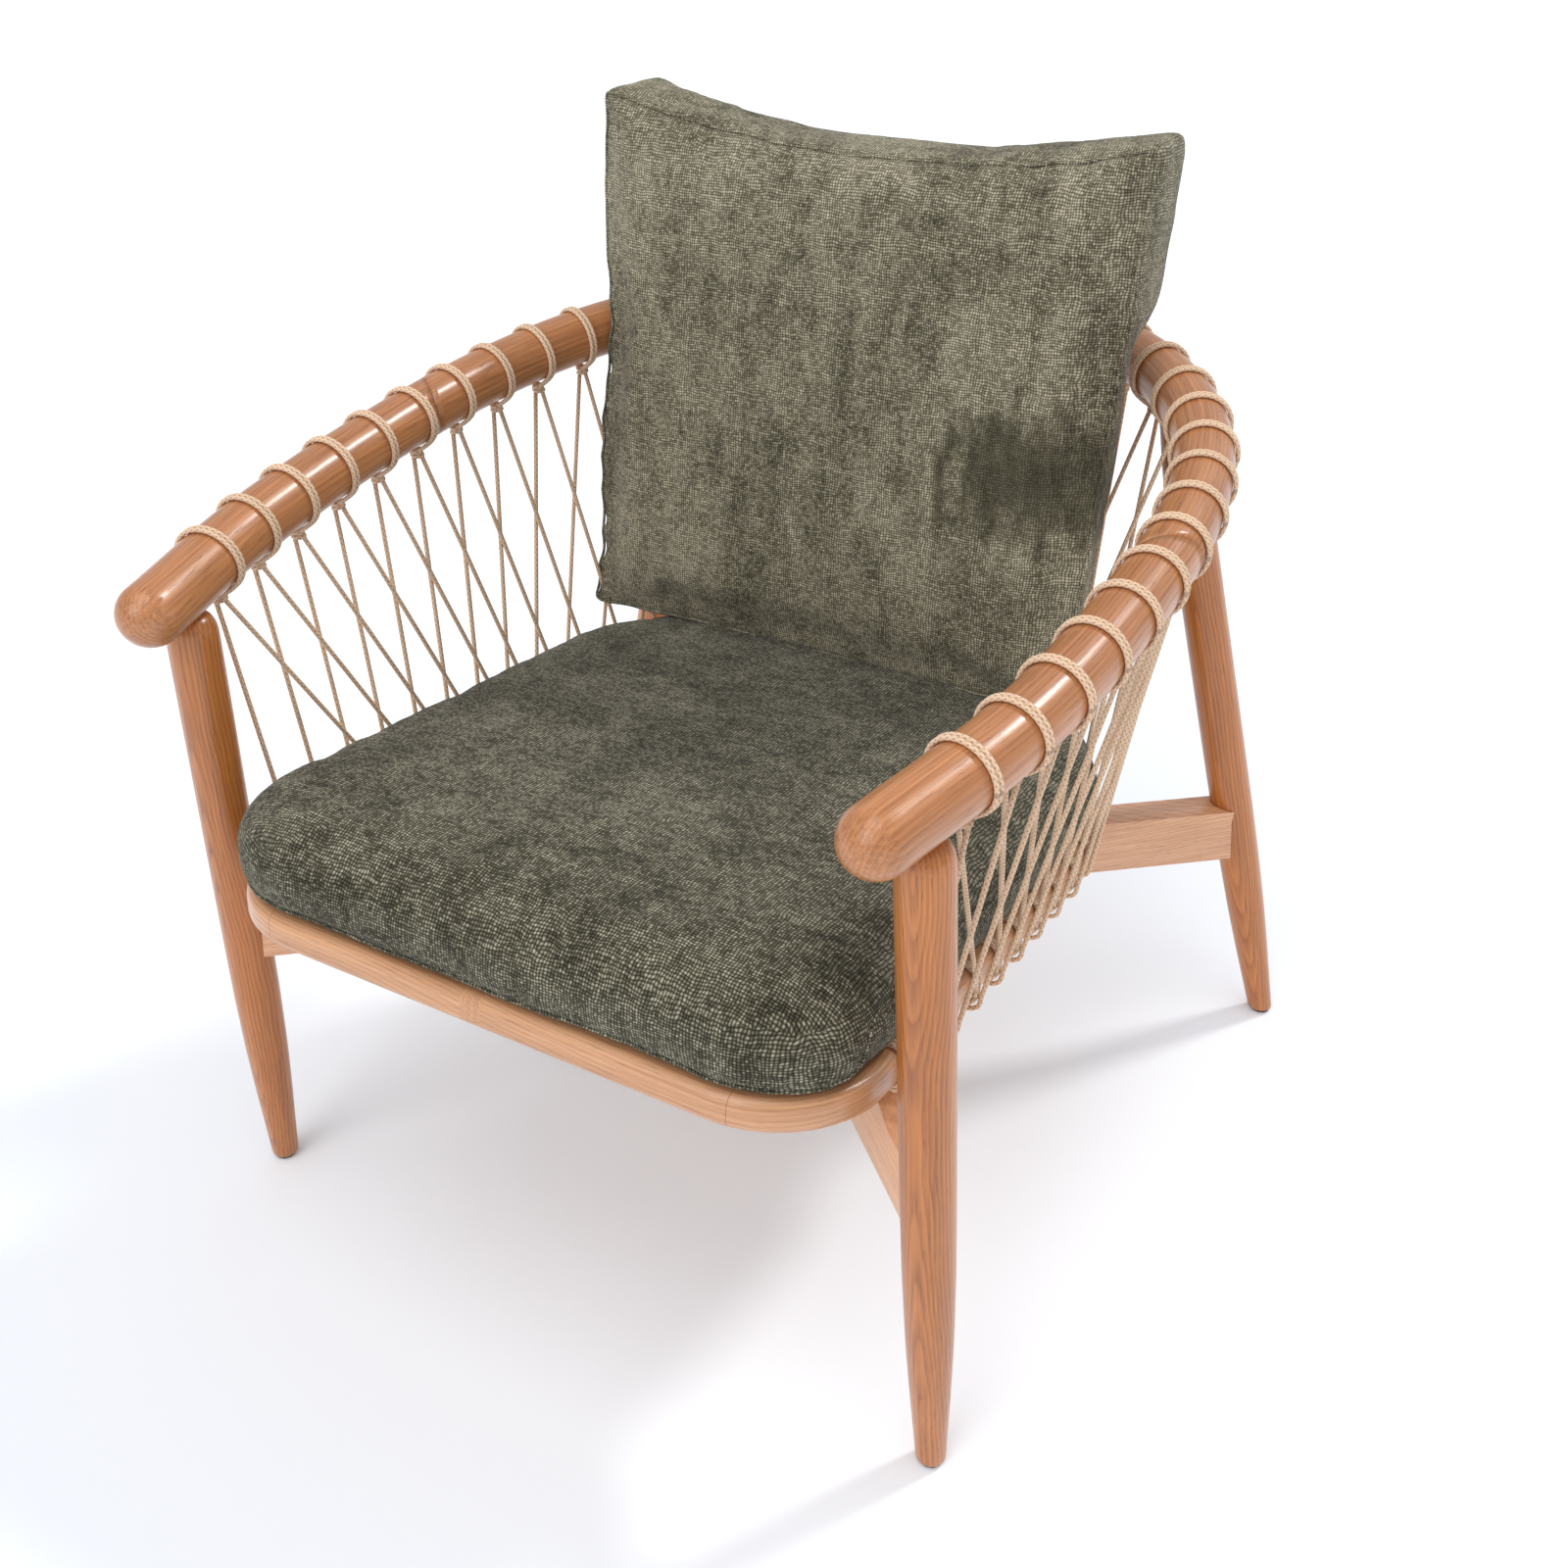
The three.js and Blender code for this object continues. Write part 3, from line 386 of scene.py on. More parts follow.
def braid(name, dark, light):
    """Braided natural cord: fine strands plaited round the cord both ways, with loose fibre."""
    n = Nodes(name)
    base = n.attribute("grain")
    x, y, z = n.split(base)
    angle = n.over(n.math("ARCTAN2", y, x), 2 * math.pi)
    along = n.over(z, 0.005)
    turns = n.plus(n.times(angle, 3.0), along), n.minus(n.times(angle, 3.0), along)
    plait = [n.math("ABSOLUTE", n.math("SINE", n.times(turn, math.pi))) for turn in turns]
    height = n.math("MAXIMUM", n.times(plait[0], 0.9), plait[1])
    fibre = n.noise(n.place_vector(), 1500, 2.0, 0.6)
    patch = n.noise(n.place_vector(), 30)
    # The plait's height darkens the colour between strands as painted shade; the fibre and patch noise are
    # the cord's own tone.
    tone = n.plus(n.times(height, 0.60), n.times(fibre, 0.30))
    tone = n.plus(tone, n.times(patch, 0.22))
    colour = n.mix(n.ramp(tone, (0.24, 0.0), (0.86, 1.0)), dark, light)
    relief = n.plus(height, n.times(fibre, 0.35))
    return n.surface(Base_Color=colour, Roughness=0.9, Specular_IOR_Level=0.2, Sheen_Weight=0.1,
                     Sheen_Roughness=0.5, Normal=n.bump(relief, 0.0005, 0.8))


def weave(name, shade, mid, fleck, pitch, patchiness, painted_shadow=None):
    """Chenille in a basket weave: threads over and under, worn flecks and darker patches of nap, with painted
    shade in the gaps between threads.

    painted_shadow is one painted shadow patch that darkens the colour: its centre x and z, half width and
    half height.
    """
    n = Nodes(name)
    place_at = n.place_vector()
    jitter = n.noise(place_at, 60, output="Color")
    drift = n.node("ShaderNodeVectorMath", {0: jitter, "Scale": 0.006}, operation="SCALE").outputs[0]
    moved = n.node("ShaderNodeVectorMath", {0: place_at, 1: drift}, operation="ADD").outputs[0]
    x, y, z = n.split(moved)
    facing = n.split(n.node("ShaderNodeNewGeometry").outputs["True Normal"])
    nx, ny, nz = (n.math("ABSOLUTE", face) for face in facing)
    on_top = n.math("GREATER_THAN", nz, n.math("MAXIMUM", nx, ny))
    on_side = n.math("GREATER_THAN", nx, n.math("MAXIMUM", ny, nz))
    u = n.plus(n.times(x, n.minus(1.0, on_side)), n.times(y, on_side))
    v = n.plus(n.times(z, n.minus(1.0, on_top)), n.times(y, on_top))
    u, v = n.over(u, pitch), n.over(v, pitch * 0.92)
    cells = [n.math("FLOOR", value) for value in (u, v)]
    sign = n.math("FLOORED_MODULO", n.plus(*cells), 2.0)
    humps = [n.math("ABSOLUTE", n.math("SINE", n.times(value, math.pi))) for value in (u, v)]
    crossing = n.times(*humps)
    over = n.plus(n.times(humps[1], sign), n.times(humps[0], n.minus(1.0, sign)))
    height = n.plus(n.times(over, 0.35), n.times(crossing, 0.65))
    cell = n.node("ShaderNodeCombineXYZ", {"X": cells[0], "Y": cells[1], "Z": n.plus(on_top, on_side)})
    thread = n.node("ShaderNodeTexWhiteNoise", {"Vector": cell.outputs[0]}).outputs["Value"]
    row = n.node("ShaderNodeCombineXYZ", {"X": u, "Y": cells[1]})
    weft = n.noise(row.outputs[0], (0.09, 1.9, 1))
    fuzz = n.noise(place_at, 1500, 2.0, 0.6)
    nap = n.noise(place_at, (15, 15, 7), 6.0, 0.68, 0.6)
    blotch = n.noise(place_at, (60, 60, 24), 3.0, 0.6)
    worn = n.plus(n.times(n.ramp(nap, (0.38, 0.0), (0.60, 1.0)), 0.34 * patchiness),
                  n.times(n.ramp(blotch, (0.36, 0.0), (0.52, 1.0)), 0.20 * patchiness))
    yarn = n.plus(n.times(thread, 0.42), n.times(weft, 0.46))
    yarn = n.plus(yarn, n.plus(n.times(fuzz, 0.30), worn))
    # The yarn's tone darkens towards the gaps between threads: painted shade, beside the threads' own random
    # tone.
    lit = n.times(yarn, n.plus(n.times(height, 0.72), 0.30))
    lit = n.times(n.minus(lit, 0.22), 1.15)
    # Painted shadow: the colour darkened by up to 80% in a soft patch round the given centre, its edge broken
    # up by the blotch noise.
    if painted_shadow:
        at_x, _, at_z = n.split(place_at)
        away_x = n.over(n.minus(at_x, painted_shadow[0]), painted_shadow[2])
        away_z = n.over(n.minus(at_z, painted_shadow[1]), painted_shadow[3])
        squares = [n.times(value, value) for value in (away_x, away_z)]
        away = n.math("SQRT", n.plus(*squares))
        away = n.plus(away, n.times(n.minus(blotch, 0.5), 1.5))
        inside = n.ramp(away, (0.0, 1.0), (0.6, 0.75), (1.3, 0.0))
        lit = n.times(lit, n.minus(1.0, n.times(inside, 0.8)))
    colour = n.ramp(lit, (0.0, shade), (0.42, mid), (0.95, fleck))
    relief = n.plus(height, n.times(fuzz, 0.5))
    return n.surface(Base_Color=colour, Roughness=0.95, Specular_IOR_Level=0.12, Sheen_Weight=0.12,
                     Sheen_Roughness=0.4, Normal=n.bump(relief, 0.0007, 0.8))


def plain(name, colour, roughness, metallic=0.0, scale=900.0):
    """Moulded or plated small parts, with fine mottling."""
    n = Nodes(name)
    speck = n.noise(n.place_vector(), scale)
    shade = n.mix(n.times(speck, 0.4), colour, tuple(channel * 0.6 for channel in colour))
    rough = n.plus(n.times(speck, 0.2), roughness)
    return n.surface(Base_Color=shade, Roughness=rough, Metallic=metallic, Normal=n.bump(speck, 0.0001, 0.3))


RAIL_WOOD = wood("rail_timber", (0.27, 0.090, 0.027), (0.66, 0.285, 0.112), pith=(0.05, -0.03), figure=0.14)
LEG_WOOD = wood("leg_timber", (0.27, 0.079, 0.016), (0.63, 0.225, 0.052))
# The stretchers' timber is made paler than the legs' to stand in for the brighter light on them: painted
# light.
LIT_BAR_WOOD = wood("stretcher_timber", (0.54, 0.245, 0.115), (0.86, 0.490, 0.280), pith=(0.09, 0.03),
                figure=0.22)
RING_WOOD = wood("ring_timber", (0.40, 0.175, 0.074), (0.74, 0.395, 0.205), pith=(0.06, 0.05), figure=0.2)
DOWEL_WOOD = wood("dowel_timber", (0.45, 0.30, 0.16), (0.72, 0.55, 0.36), from_grain=False)
PLY = wood("deck_plywood", (0.42, 0.28, 0.16), (0.68, 0.52, 0.34), pith=(0.3, 0.2), ring=0.02,
           from_grain=False)
ROPE = braid("braided_cord", (0.36, 0.215, 0.125), (0.86, 0.63, 0.445))
# The seat's chenille is a darker copy of the back's cloth, standing in for the shade on the seat: painted
# shade.
SHADED_SEAT_FABRIC = weave("seat_chenille", (0.012, 0.011, 0.006), (0.108, 0.100, 0.066), (0.46, 0.43, 0.325),
                    pitch=0.0025, patchiness=0.6)
# The back's painted shadow patch sits where the rail's shadow falls across the cushion.
BACK_FABRIC = weave("back_chenille", (0.034, 0.030, 0.017), (0.215, 0.194, 0.130), (0.60, 0.55, 0.41),
                    pitch=0.0023, patchiness=0.75, painted_shadow=(0.165, 0.600, 0.105, 0.066))
STEEL = plain("zinc_steel", (0.60, 0.60, 0.59), 0.3, 1.0)
NYLON = plain("glide_nylon", (0.055, 0.038, 0.026), 0.5)


# ---- Timber ----

RAIL_SIDES = 40


def rail_ends(distance, slope, side_of_joint):
    """For each line along the rail, the distance at which it meets a scarf joint."""
    angle = full_turn(RAIL_SIDES)
    _, along, side, up = rail_frame(distance)
    c, s = math.cos(slope), math.sin(slope)
    normal = np.array([along[0] * c - along[1] * s, along[0] * s + along[1] * c, along[2]])
    offset = RAIL_RADIUS * (np.cos(angle) * (side @ normal) + np.sin(angle) * (up @ normal))
    return distance + (side_of_joint * GAP / 2 - offset) / (along @ normal)


def rail_piece(name, start, end):
    """A length of rail. start and end are (distance, slope) of a scarf, or None for a domed tip."""
    angle = full_turn(RAIL_SIDES)
    rows, radii = [], []
    dome = np.linspace(0.04, math.pi / 2, 9)
    first = rail_ends(*start, 1) if start else np.zeros(RAIL_SIDES)
    last = rail_ends(*end, -1) if end else np.full(RAIL_SIDES, RAIL_LENGTH)
    if not start:
        rows += [first - RAIL_RADIUS * math.cos(t) for t in dome[:-1]]
        radii += [RAIL_RADIUS * math.sin(t) for t in dome[:-1]]
    steps = max(int((last.mean() - first.mean()) / 8), 4)
    for t in np.linspace(0, 1, steps + 1):
        rows.append(first * (1 - t) + last * t)
        radii.append(RAIL_RADIUS)
    if not end:
        rows += [last + RAIL_RADIUS * math.cos(t) for t in dome[::-1][1:]]
        radii += [RAIL_RADIUS * math.sin(t) for t in dome[::-1][1:]]
    s, r = np.array(rows), np.array(radii)[:, None]
    at, _, side, up = rail_frame(s)
    points = at + around(side, up, angle, r)
    seed = 37.0 * len(name) + start[0] * 0.3 if start else 11.0 * len(name)
    flat_caps(place(name + "_timber", [tube(points, angle, r, s + seed)], [name], RAIL_WOOD))


def flat_caps(piece):
    """Keeps a swept piece's cut ends flat beside its smooth sides."""
    mesh = piece.data
    for polygon in mesh.polygons:
        if len(polygon.vertices) > 4:
            polygon.use_smooth = False


def build_rail():
    joints = [(loop_distance(number), SCARF_ANGLE) for number in (6.5, 14.5)]
    joints += [(loop_distance(LOOP_COUNT - number), -SCARF_ANGLE) for number in (13.5, 5.5)]
    names = ["arm_rail_right", "corner_rail_right", "back_rail", "corner_rail_left", "arm_rail_left"]
    for i, name in enumerate(names):
        rail_piece(name, joints[i - 1] if i else None, joints[i] if i < 4 else None)


def leg_axis(side, foot, distance):
    top = rail_frame(distance if side > 0 else RAIL_LENGTH - distance)[0]
    return np.array([side * foot[0], foot[1], 0.0]), top


LEG_ROWS = {
    "front": (FRONT_FOOT, rail_distance_at(FRONT_LEG_Y), FRONT_LEG_END),
    "rear": (REAR_FOOT, loop_distance(12.5), REAR_LEG_END),
}
LEGS = {f"{row}_{hand}_leg": (*leg_axis(side, foot, distance), end)
        for row, (foot, distance, end) in LEG_ROWS.items() for hand, side in (("left", -1), ("right", 1))}
GRAIN_STARTS = {"front_left_leg": 0, "front_right_leg": 900, "rear_left_leg": 2100, "rear_right_leg": 3300}


def leg_radius(along, length, end):
    neck = [(length - below, share * LEG_RADIUS) for below, share in end]
    knots = LEG_TAPER + [(length - 80, LEG_RADIUS)] + neck
    x, r = zip(*knots)
    smooth = sum(np.interp(along + shift, x, r) for shift in (-9, -4, 0, 4, 9)) / 5
    sharp = sum(np.interp(along + shift, x, r) for shift in (-1.5, 0, 1.5)) / 3
    blend = np.clip((along - (length - 50)) / 8, 0, 1)
    return smooth * (1 - blend) + sharp * blend


def build_leg(name, foot, top, end, sides=40):
    axis = unit(top - foot)
    length = np.linalg.norm(top - foot)
    across = unit(np.cross(axis, [0, 1, 0]))
    other = np.cross(axis, across)
    angle = full_turn(sides)
    ease = 1.6
    tip = length - end[-1][0]
    levels = np.concatenate([np.linspace(8, length - 50, 70), np.linspace(length - 46, tip, 22)])
    rows = []
    sole = GLIDE_HEIGHT + GAP
    for level, shrink in ((sole, ease), (sole + 0.6, 0.5), (sole + ease, 0.0)):
        radius = LEG_TAPER[0][1] - shrink
        along = (level - around(across, other, angle, radius)[:, 2]) / axis[2]
        rows.append((along, np.full(sides, radius)))
    for level in levels:
        rows.append((np.full(sides, level), np.full(sides, float(leg_radius(level, length, end)))))
    along, radius = (np.array(values) for values in zip(*rows))
    points = foot + axis * along[..., None] + around(across, other, angle, radius)
    timber = tube(points, angle, radius, along + GRAIN_STARTS[name])
    flat_caps(place(name + "_timber", [timber], [name], LEG_WOOD))


def eased_copy(node, name, start, end, material, width=0.0022):
    """A piece with the CAD node's own shape, its sharp edges eased and its grain from start to end."""
    mesh = frame["nodes"][node].data.copy()
    with editing(mesh) as shape:
        bmesh.ops.remove_doubles(shape, verts=shape.verts, dist=1e-5)
        bmesh.ops.dissolve_limit(shape, angle_limit=0.01, verts=shape.verts, edges=shape.edges)
    piece = add_object(name, mesh)
    bevel = piece.modifiers.new("ease", "BEVEL")
    bevel.width, bevel.segments, bevel.limit_method, bevel.angle_limit = width, 3, "ANGLE", 0.6
    apply_modifiers(piece)
    piece.data.shade_smooth()
    smooth_by_angle(piece, 0.7)
    along = unit(np.array([end[0] - start[0], end[1] - start[1], 0.0]))
    points = mesh_points(piece.data)
    set_grain(piece.data, np.stack([points @ np.cross(along, Z), points @ Z, points @ along], -1))
    finish_piece(piece, [node], material)


def apply_modifiers(piece):
    evaluated = piece.evaluated_get(bpy.context.evaluated_depsgraph_get())
    mesh = bpy.data.meshes.new_from_object(evaluated)
    piece.modifiers.clear()
    piece.data = mesh


def smooth_by_angle(piece, angle):
    with editing(piece.data) as shape:
        for edge in shape.edges:
            if len(edge.link_faces) == 2:
                edge.smooth = edge.calc_face_angle(0) < angle


def ring_outline(inset):
    """The seat ring's plan outline at an inset: points from the front's middle round the right side."""
    half, front = RING_HALF_WIDTH - inset, RING_FRONT + inset
    corner = max(RING_CORNER - inset, 20)
    depth = RING_BACK_DEPTH - inset
    arc = np.linspace(-math.pi / 2, 0, 15)
    right = np.stack([half - corner + corner * np.cos(arc), front + corner + corner * np.sin(arc)], -1)
    back = np.linspace(0, math.pi, 97)
    rear = np.stack([half * np.cos(back), RING_SIDE_END + depth * np.sin(back)], -1)
    straight = np.linspace(0, 1, 11)[:-1, None]
    front_bar = np.array([0, front]) * (1 - straight) + right[0] * straight
    side_bar = right[-1] * (1 - straight) + rear[0] * straight
    half_plan = np.vstack([front_bar, right[:-1], side_bar, rear[:49]])
    mirrored = half_plan[1:-1][::-1] * [-1, 1]
    return np.vstack([half_plan, mirrored])


def seat_to_chair(points):
    """From the seat's raked frame to the building frame."""
    rake = math.atan(SEAT_SLOPE)
    points = np.asarray(points, float)
    x, y, z = points[..., 0], points[..., 1], points[..., 2]
    c, s = math.cos(rake), math.sin(rake)
    return np.stack([x, y * c + z * s, SEAT_HEIGHT - y * s + z * c], -1)


def ring_section():
    """The ring's section as (inset, height), with rounded edges and the deck's rebate."""
    w, t, r = RING_WIDTH, RING_THICKNESS, RING_EDGE
    step = w - REBATE_WIDTH
    floor = t - DECK_THICKNESS - GAP
    arc = np.linspace(0, math.pi / 2, 6)
    outer_low = [(r - r * math.sin(a), r - r * math.cos(a)) for a in arc]
    outer_high = [(r - r * math.cos(a), t - r + r * math.sin(a)) for a in arc]
    inner_low = [(w - 4 + 4 * math.cos(a), 4 - 4 * math.sin(a)) for a in arc]
    return outer_low + outer_high + [(step, t), (step, floor), (w, floor)] + inner_low


def cut_mesh(whole, planes):
    """Keeps what lies on the positive side of each (point, normal) plane and closes the cuts."""
    mesh = whole.copy()
    with editing(mesh) as shape:
        for point, normal in planes:
            everything = shape.verts[:] + shape.edges[:] + shape.faces[:]
            made = bmesh.ops.bisect_plane(shape, geom=everything, plane_co=point, plane_no=normal,
                                          clear_inner=True)
            edges = [item for item in made["geom_cut"] if isinstance(item, bmesh.types.BMEdge)]
            if edges:
                bmesh.ops.holes_fill(shape, edges=edges)
    return mesh


def build_ring():
    section = ring_section()
    outlines = np.stack([ring_outline(inset) for inset, _ in section], 1)
    heights = np.broadcast_to(np.array([z for _, z in section]), outlines.shape[:2])
    flat = np.concatenate([outlines, heights[..., None]], -1)
    points = seat_to_chair(flat)
    along = distances(outlines[:, 0])
    insets = np.array([inset for inset, _ in section])
    grain = np.stack(np.broadcast_arrays(insets, heights, along[:, None]), -1)
    faces = grid_faces(len(points), len(section), wrap_rows=True)
    whole = place("ring_whole", [part(points, faces, grain)])
    rake = math.atan(SEAT_SLOPE)
    back, front = (0, math.cos(rake), -math.sin(rake)), (0, -math.cos(rake), math.sin(rake))

    def at(x, y):
        return Vector(seat_to_chair([x, y, RING_THICKNESS / 2]) / 1000 + SHIFT)

    x, y, g = RING_FRONT_JOINT, RING_BACK_JOINT, GAP / 2
    right, left = (1, 0, 0), (-1, 0, 0)
    cuts = {
        "seat_ring_front": [(at(x - g, 0), left), (at(-x + g, 0), right), (at(0, 200), front)],
        "seat_ring_back": [(at(0, y + g), back)],
        "seat_ring_right": [(at(x + g, 0), right), (at(0, y - g), front)],
        "seat_ring_left": [(at(-x - g, 0), left), (at(0, y - g), front)],
    }
    for name, planes in cuts.items():
        piece = add_object(name + "_timber", cut_mesh(whole.data, planes))
        fix_normals(piece)
        smooth_by_angle(piece, 0.9)
        finish_piece(piece, [name], RING_WOOD)
    bpy.data.objects.remove(whole)


# ---- Cord ----

def stations():
    """The points of the ring's outer edge where the cord turns, with their outward directions."""
    outline = ring_outline(0)
    half = outline[:len(outline) // 2 + 1]
    half = half[half[:, 1] > FIRST_STATION_Y]
    start = np.array([[RING_HALF_WIDTH, FIRST_STATION_Y]])
    edge = np.vstack([start, half, half[:-1][::-1] * [-1, 1], start * [-1, 1]])
    along = distances(edge)
    s = np.linspace(0, along[-1], STATION_COUNT)
    ahead, behind = (sample(edge, along, np.clip(s + step, 0, along[-1])) for step in (2, -2))
    direction = unit(ahead - behind)
    out = np.stack([direction[:, 1], -direction[:, 0]], -1)
    return sample(edge, along, s), direction, out


def smooth_loop(points, count=36):
    """A smooth closed curve through 2-D points, evenly sampled."""
    points = np.asarray(points, float)
    q = np.vstack([points[-1:], points, points[:2]])
    out = []
    for i in range(len(points)):
        p0, p1, p2, p3 = q[i:i + 4]
        t = np.linspace(0, 1, 12, endpoint=False)[:, None]
        out.append(0.5 * (2 * p1 + (p2 - p0) * t + (2 * p0 - 5 * p1 + 4 * p2 - p3) * t ** 2
                          + (3 * p1 - p0 - 3 * p2 + p3) * t ** 3))
    curve = np.vstack(out + [out[0][:1]])
    along = distances(curve)
    return sample(curve, along, np.linspace(0, along[-1], count, endpoint=False))


OUTSIDE = GAP + CORD_RADIUS
ABOVE = RING_THICKNESS + GAP + CORD_RADIUS
SLOT = -TURN_REACH - CORD_RADIUS
EDGE_PATH = smooth_loop([(OUTSIDE, 7), (OUTSIDE, 20), (0.4, 26.3), (-5, 29.7), (-10, ABOVE - 0.2), (SLOT, 27),
                         (SLOT, 14), (SLOT, 1), (-10, -2.4), (-5, -1.6), (0.4, 1.7)])
# The outer strand's own way under the ring's edge, over the turn that it joins.
TAIL_PATH = [(6.3, 1.5), (4.6, -2.6), (0.5, -5.2), (-5, -6.4), (-10.5, -6.3), (-14.5, -4.6)]


def blob(centre, axes, radii, segments=14, rings=8):
    """A rounded knot body on three axes."""
    tip = 0.12
    polar = np.linspace(tip, math.pi - tip, rings)
    angle = full_turn(segments)
    wide, high = np.sin(polar)[:, None], np.cos(polar)[:, None]
    grain = np.stack([wide * np.cos(angle), wide * np.sin(angle), high + 0 * angle], -1) * radii
    return part(centre + grain @ np.asarray(axes), grid_faces(rings, segments, caps=True), grain)


def band(centre, axis_a, axis_b, a, b, radius, count=22):
    """A small closed turn of cord on an ellipse."""
    path = centre + around(axis_a * a, axis_b * b, full_turn(count), 1.0)
    return sweep(path, radius, 8, up=np.cross(axis_a, axis_b), closed=True)


def edge_turn(at, along, out):
    """The doubled turn of cord round the ring's edge, and where its strands arrive."""
    base, outward, beside = (np.array([*pair, 0.0]) for pair in (at, out, along))

    def spot(x, z, offset=0.0):
        return base + outward * x + Z * z + beside * offset

    parts = []
    for offset in (-TURN_SPACING, TURN_SPACING):
        path = np.array([spot(x, z, offset) for x, z in EDGE_PATH])
        parts.append(sweep(seat_to_chair(path), CORD_RADIUS, 8, up=beside, closed=True))
    inner = seat_to_chair(np.array([spot(OUTSIDE, TURN_RISE), spot(OUTSIDE, TURN_RISE - 4)]))
    outer = seat_to_chair(np.array([spot(x, z) for x, z in [(OUTSIDE + LAYER_BOTTOM, 7)] + TAIL_PATH]))
    return parts, {"inner": inner, "outer": outer}


def rail_loop(number):
    """The doubled loop of cord over the rail, the knot below, and where its strands leave."""
    at, along, side, up = rail_frame(loop_distance(number))
    t = full_turn(48)
    down = np.clip(-np.sin(t), 0, 1) ** 6
    radius = RAIL_RADIUS + 0.4 + HITCH_RADIUS
    parts = []
    for offset in (-HITCH_SPACING, HITCH_SPACING):
        wide = np.cos(t) * radius * (1 - 0.35 * down)
        high = np.sin(t) * radius - 4.0 * down
        lean = 0.5 * np.cos(t + 0.9 * number)
        shift = (offset + lean) * (1 - 0.3 * down)
        path = at + wide[:, None] * side + high[:, None] * up + shift[:, None] * along
        parts.append(sweep(path, HITCH_RADIUS, 10, up=along, closed=True))
    centre = at - up * KNOT_DROP
    tilt = 0.22 * math.sin(2.1 * number)
    across, over = unit(side + tilt * up), unit(side - (tilt + 0.12) * up)
    parts.append(blob(centre, (side, along, up), (5.0, 4.4, 5.2)))
    parts.append(band(centre + up * 1.6, across, along, 4.5, 3.6, CORD_RADIUS))
    parts.append(band(centre - up * 2.0, over, along, 4.8, 3.8, CORD_RADIUS))
    start = centre - up * 2.0
    return parts, {"outer": start + side * LAYER_TOP, "inner": start - side * LAYER_TOP}


def strand_ends(loop):
    """The ring's turns that one hitch's two strands run to, each with its layer."""
    on_right = loop < LOOP_COUNT // 2
    own = loop if on_right else LOOP_COUNT - 1 - loop
    is_last = own == LOOP_COUNT // 2 - 1
    second = (own + 1, "outer") if is_last else (own + STATION_SHIFT, "inner")
    ends = [(own, "outer"), second]
    return [(turn if on_right else STATION_COUNT - 1 - turn, layer) for turn, layer in ends]


def build_cords():
    at, direction, out = stations()
    turns = [edge_turn(*values) for values in zip(at, direction, out)]
    middle = (STATION_COUNT - 1) / 2
    cords = {
        "lacing_cord_whole": (lambda i: i % 3 == 0, lambda i: i % 3 == 0),
        "lacing_cord_right": (lambda i: i % 3 and i < LOOP_COUNT / 2, lambda i: i % 3 and i < middle),
        "lacing_cord_left": (lambda i: i % 3 and i >= LOOP_COUNT / 2, lambda i: i % 3 and i > middle),
    }
    for name, (has_hitch, has_turn) in cords.items():
        parts = []
        for turn in filter(has_turn, range(STATION_COUNT)):
            parts += turns[turn][0]
        for loop in filter(has_hitch, range(LOOP_COUNT)):
            hitch, ends = rail_loop(loop + 1)
            parts += hitch
            for turn, layer in strand_ends(loop):
                t = np.linspace(0, 1, 14, endpoint=False)[:, None]
                finish = turns[turn][1][layer]
                path = np.vstack([ends[layer] * (1 - t) + finish[0] * t, finish])
                parts.append(sweep(path, CORD_RADIUS, 8))
        place(name + "_braid", parts, [name], ROPE)


# ---- Cushions ----

def box_shell(counts, shape):
    """A closed box of quads, each point put in place by shape(across, depth, up)."""
    index, points, faces = {}, [], []

    def vertex(key):
        if key not in index:
            index[key] = len(points)
            across, depth, up = (step / count for step, count in zip(key, counts))
            points.append(shape(2 * across - 1, depth, up))
        return index[key]

    for fixed in (2, 1, 0):
        first, second = (axis for axis in range(3) if axis != fixed)
        for a, b, end in product(range(counts[first]), range(counts[second]), (0, counts[fixed])):
            face, key = [], [end] * 3
            for step_a, step_b in ((0, 0), (1, 0), (1, 1), (0, 1)):
                key[first], key[second] = a + step_a, b + step_b
                face.append(vertex(tuple(key)))
            faces.append(face[::-1] if (end == 0) != (fixed == 1) else face)
    return np.array(points), faces


def smoothstep(x, low, high):
    t = np.clip((x - low) / (high - low), 0, 1)
    return t * t * (3 - 2 * t)


BACK_BOTTOM, BACK_TOP = 385.0, 858.0
BACK_FRONT, BACK_LEAN = 448.0, 0.14
BACK_MIDDLE, BACK_HALF_WIDTH = -17.0, 246.0
BACK_BOXING, BACK_CROWN, BACK_SWELL = 78.0, 50.0, 12.0
BACK_NECK, BACK_PRESS, BACK_SAG = 690.0, 30.0, 18.0
BACK_FLARE, RAIL_LEVEL = 12.0, 655.0


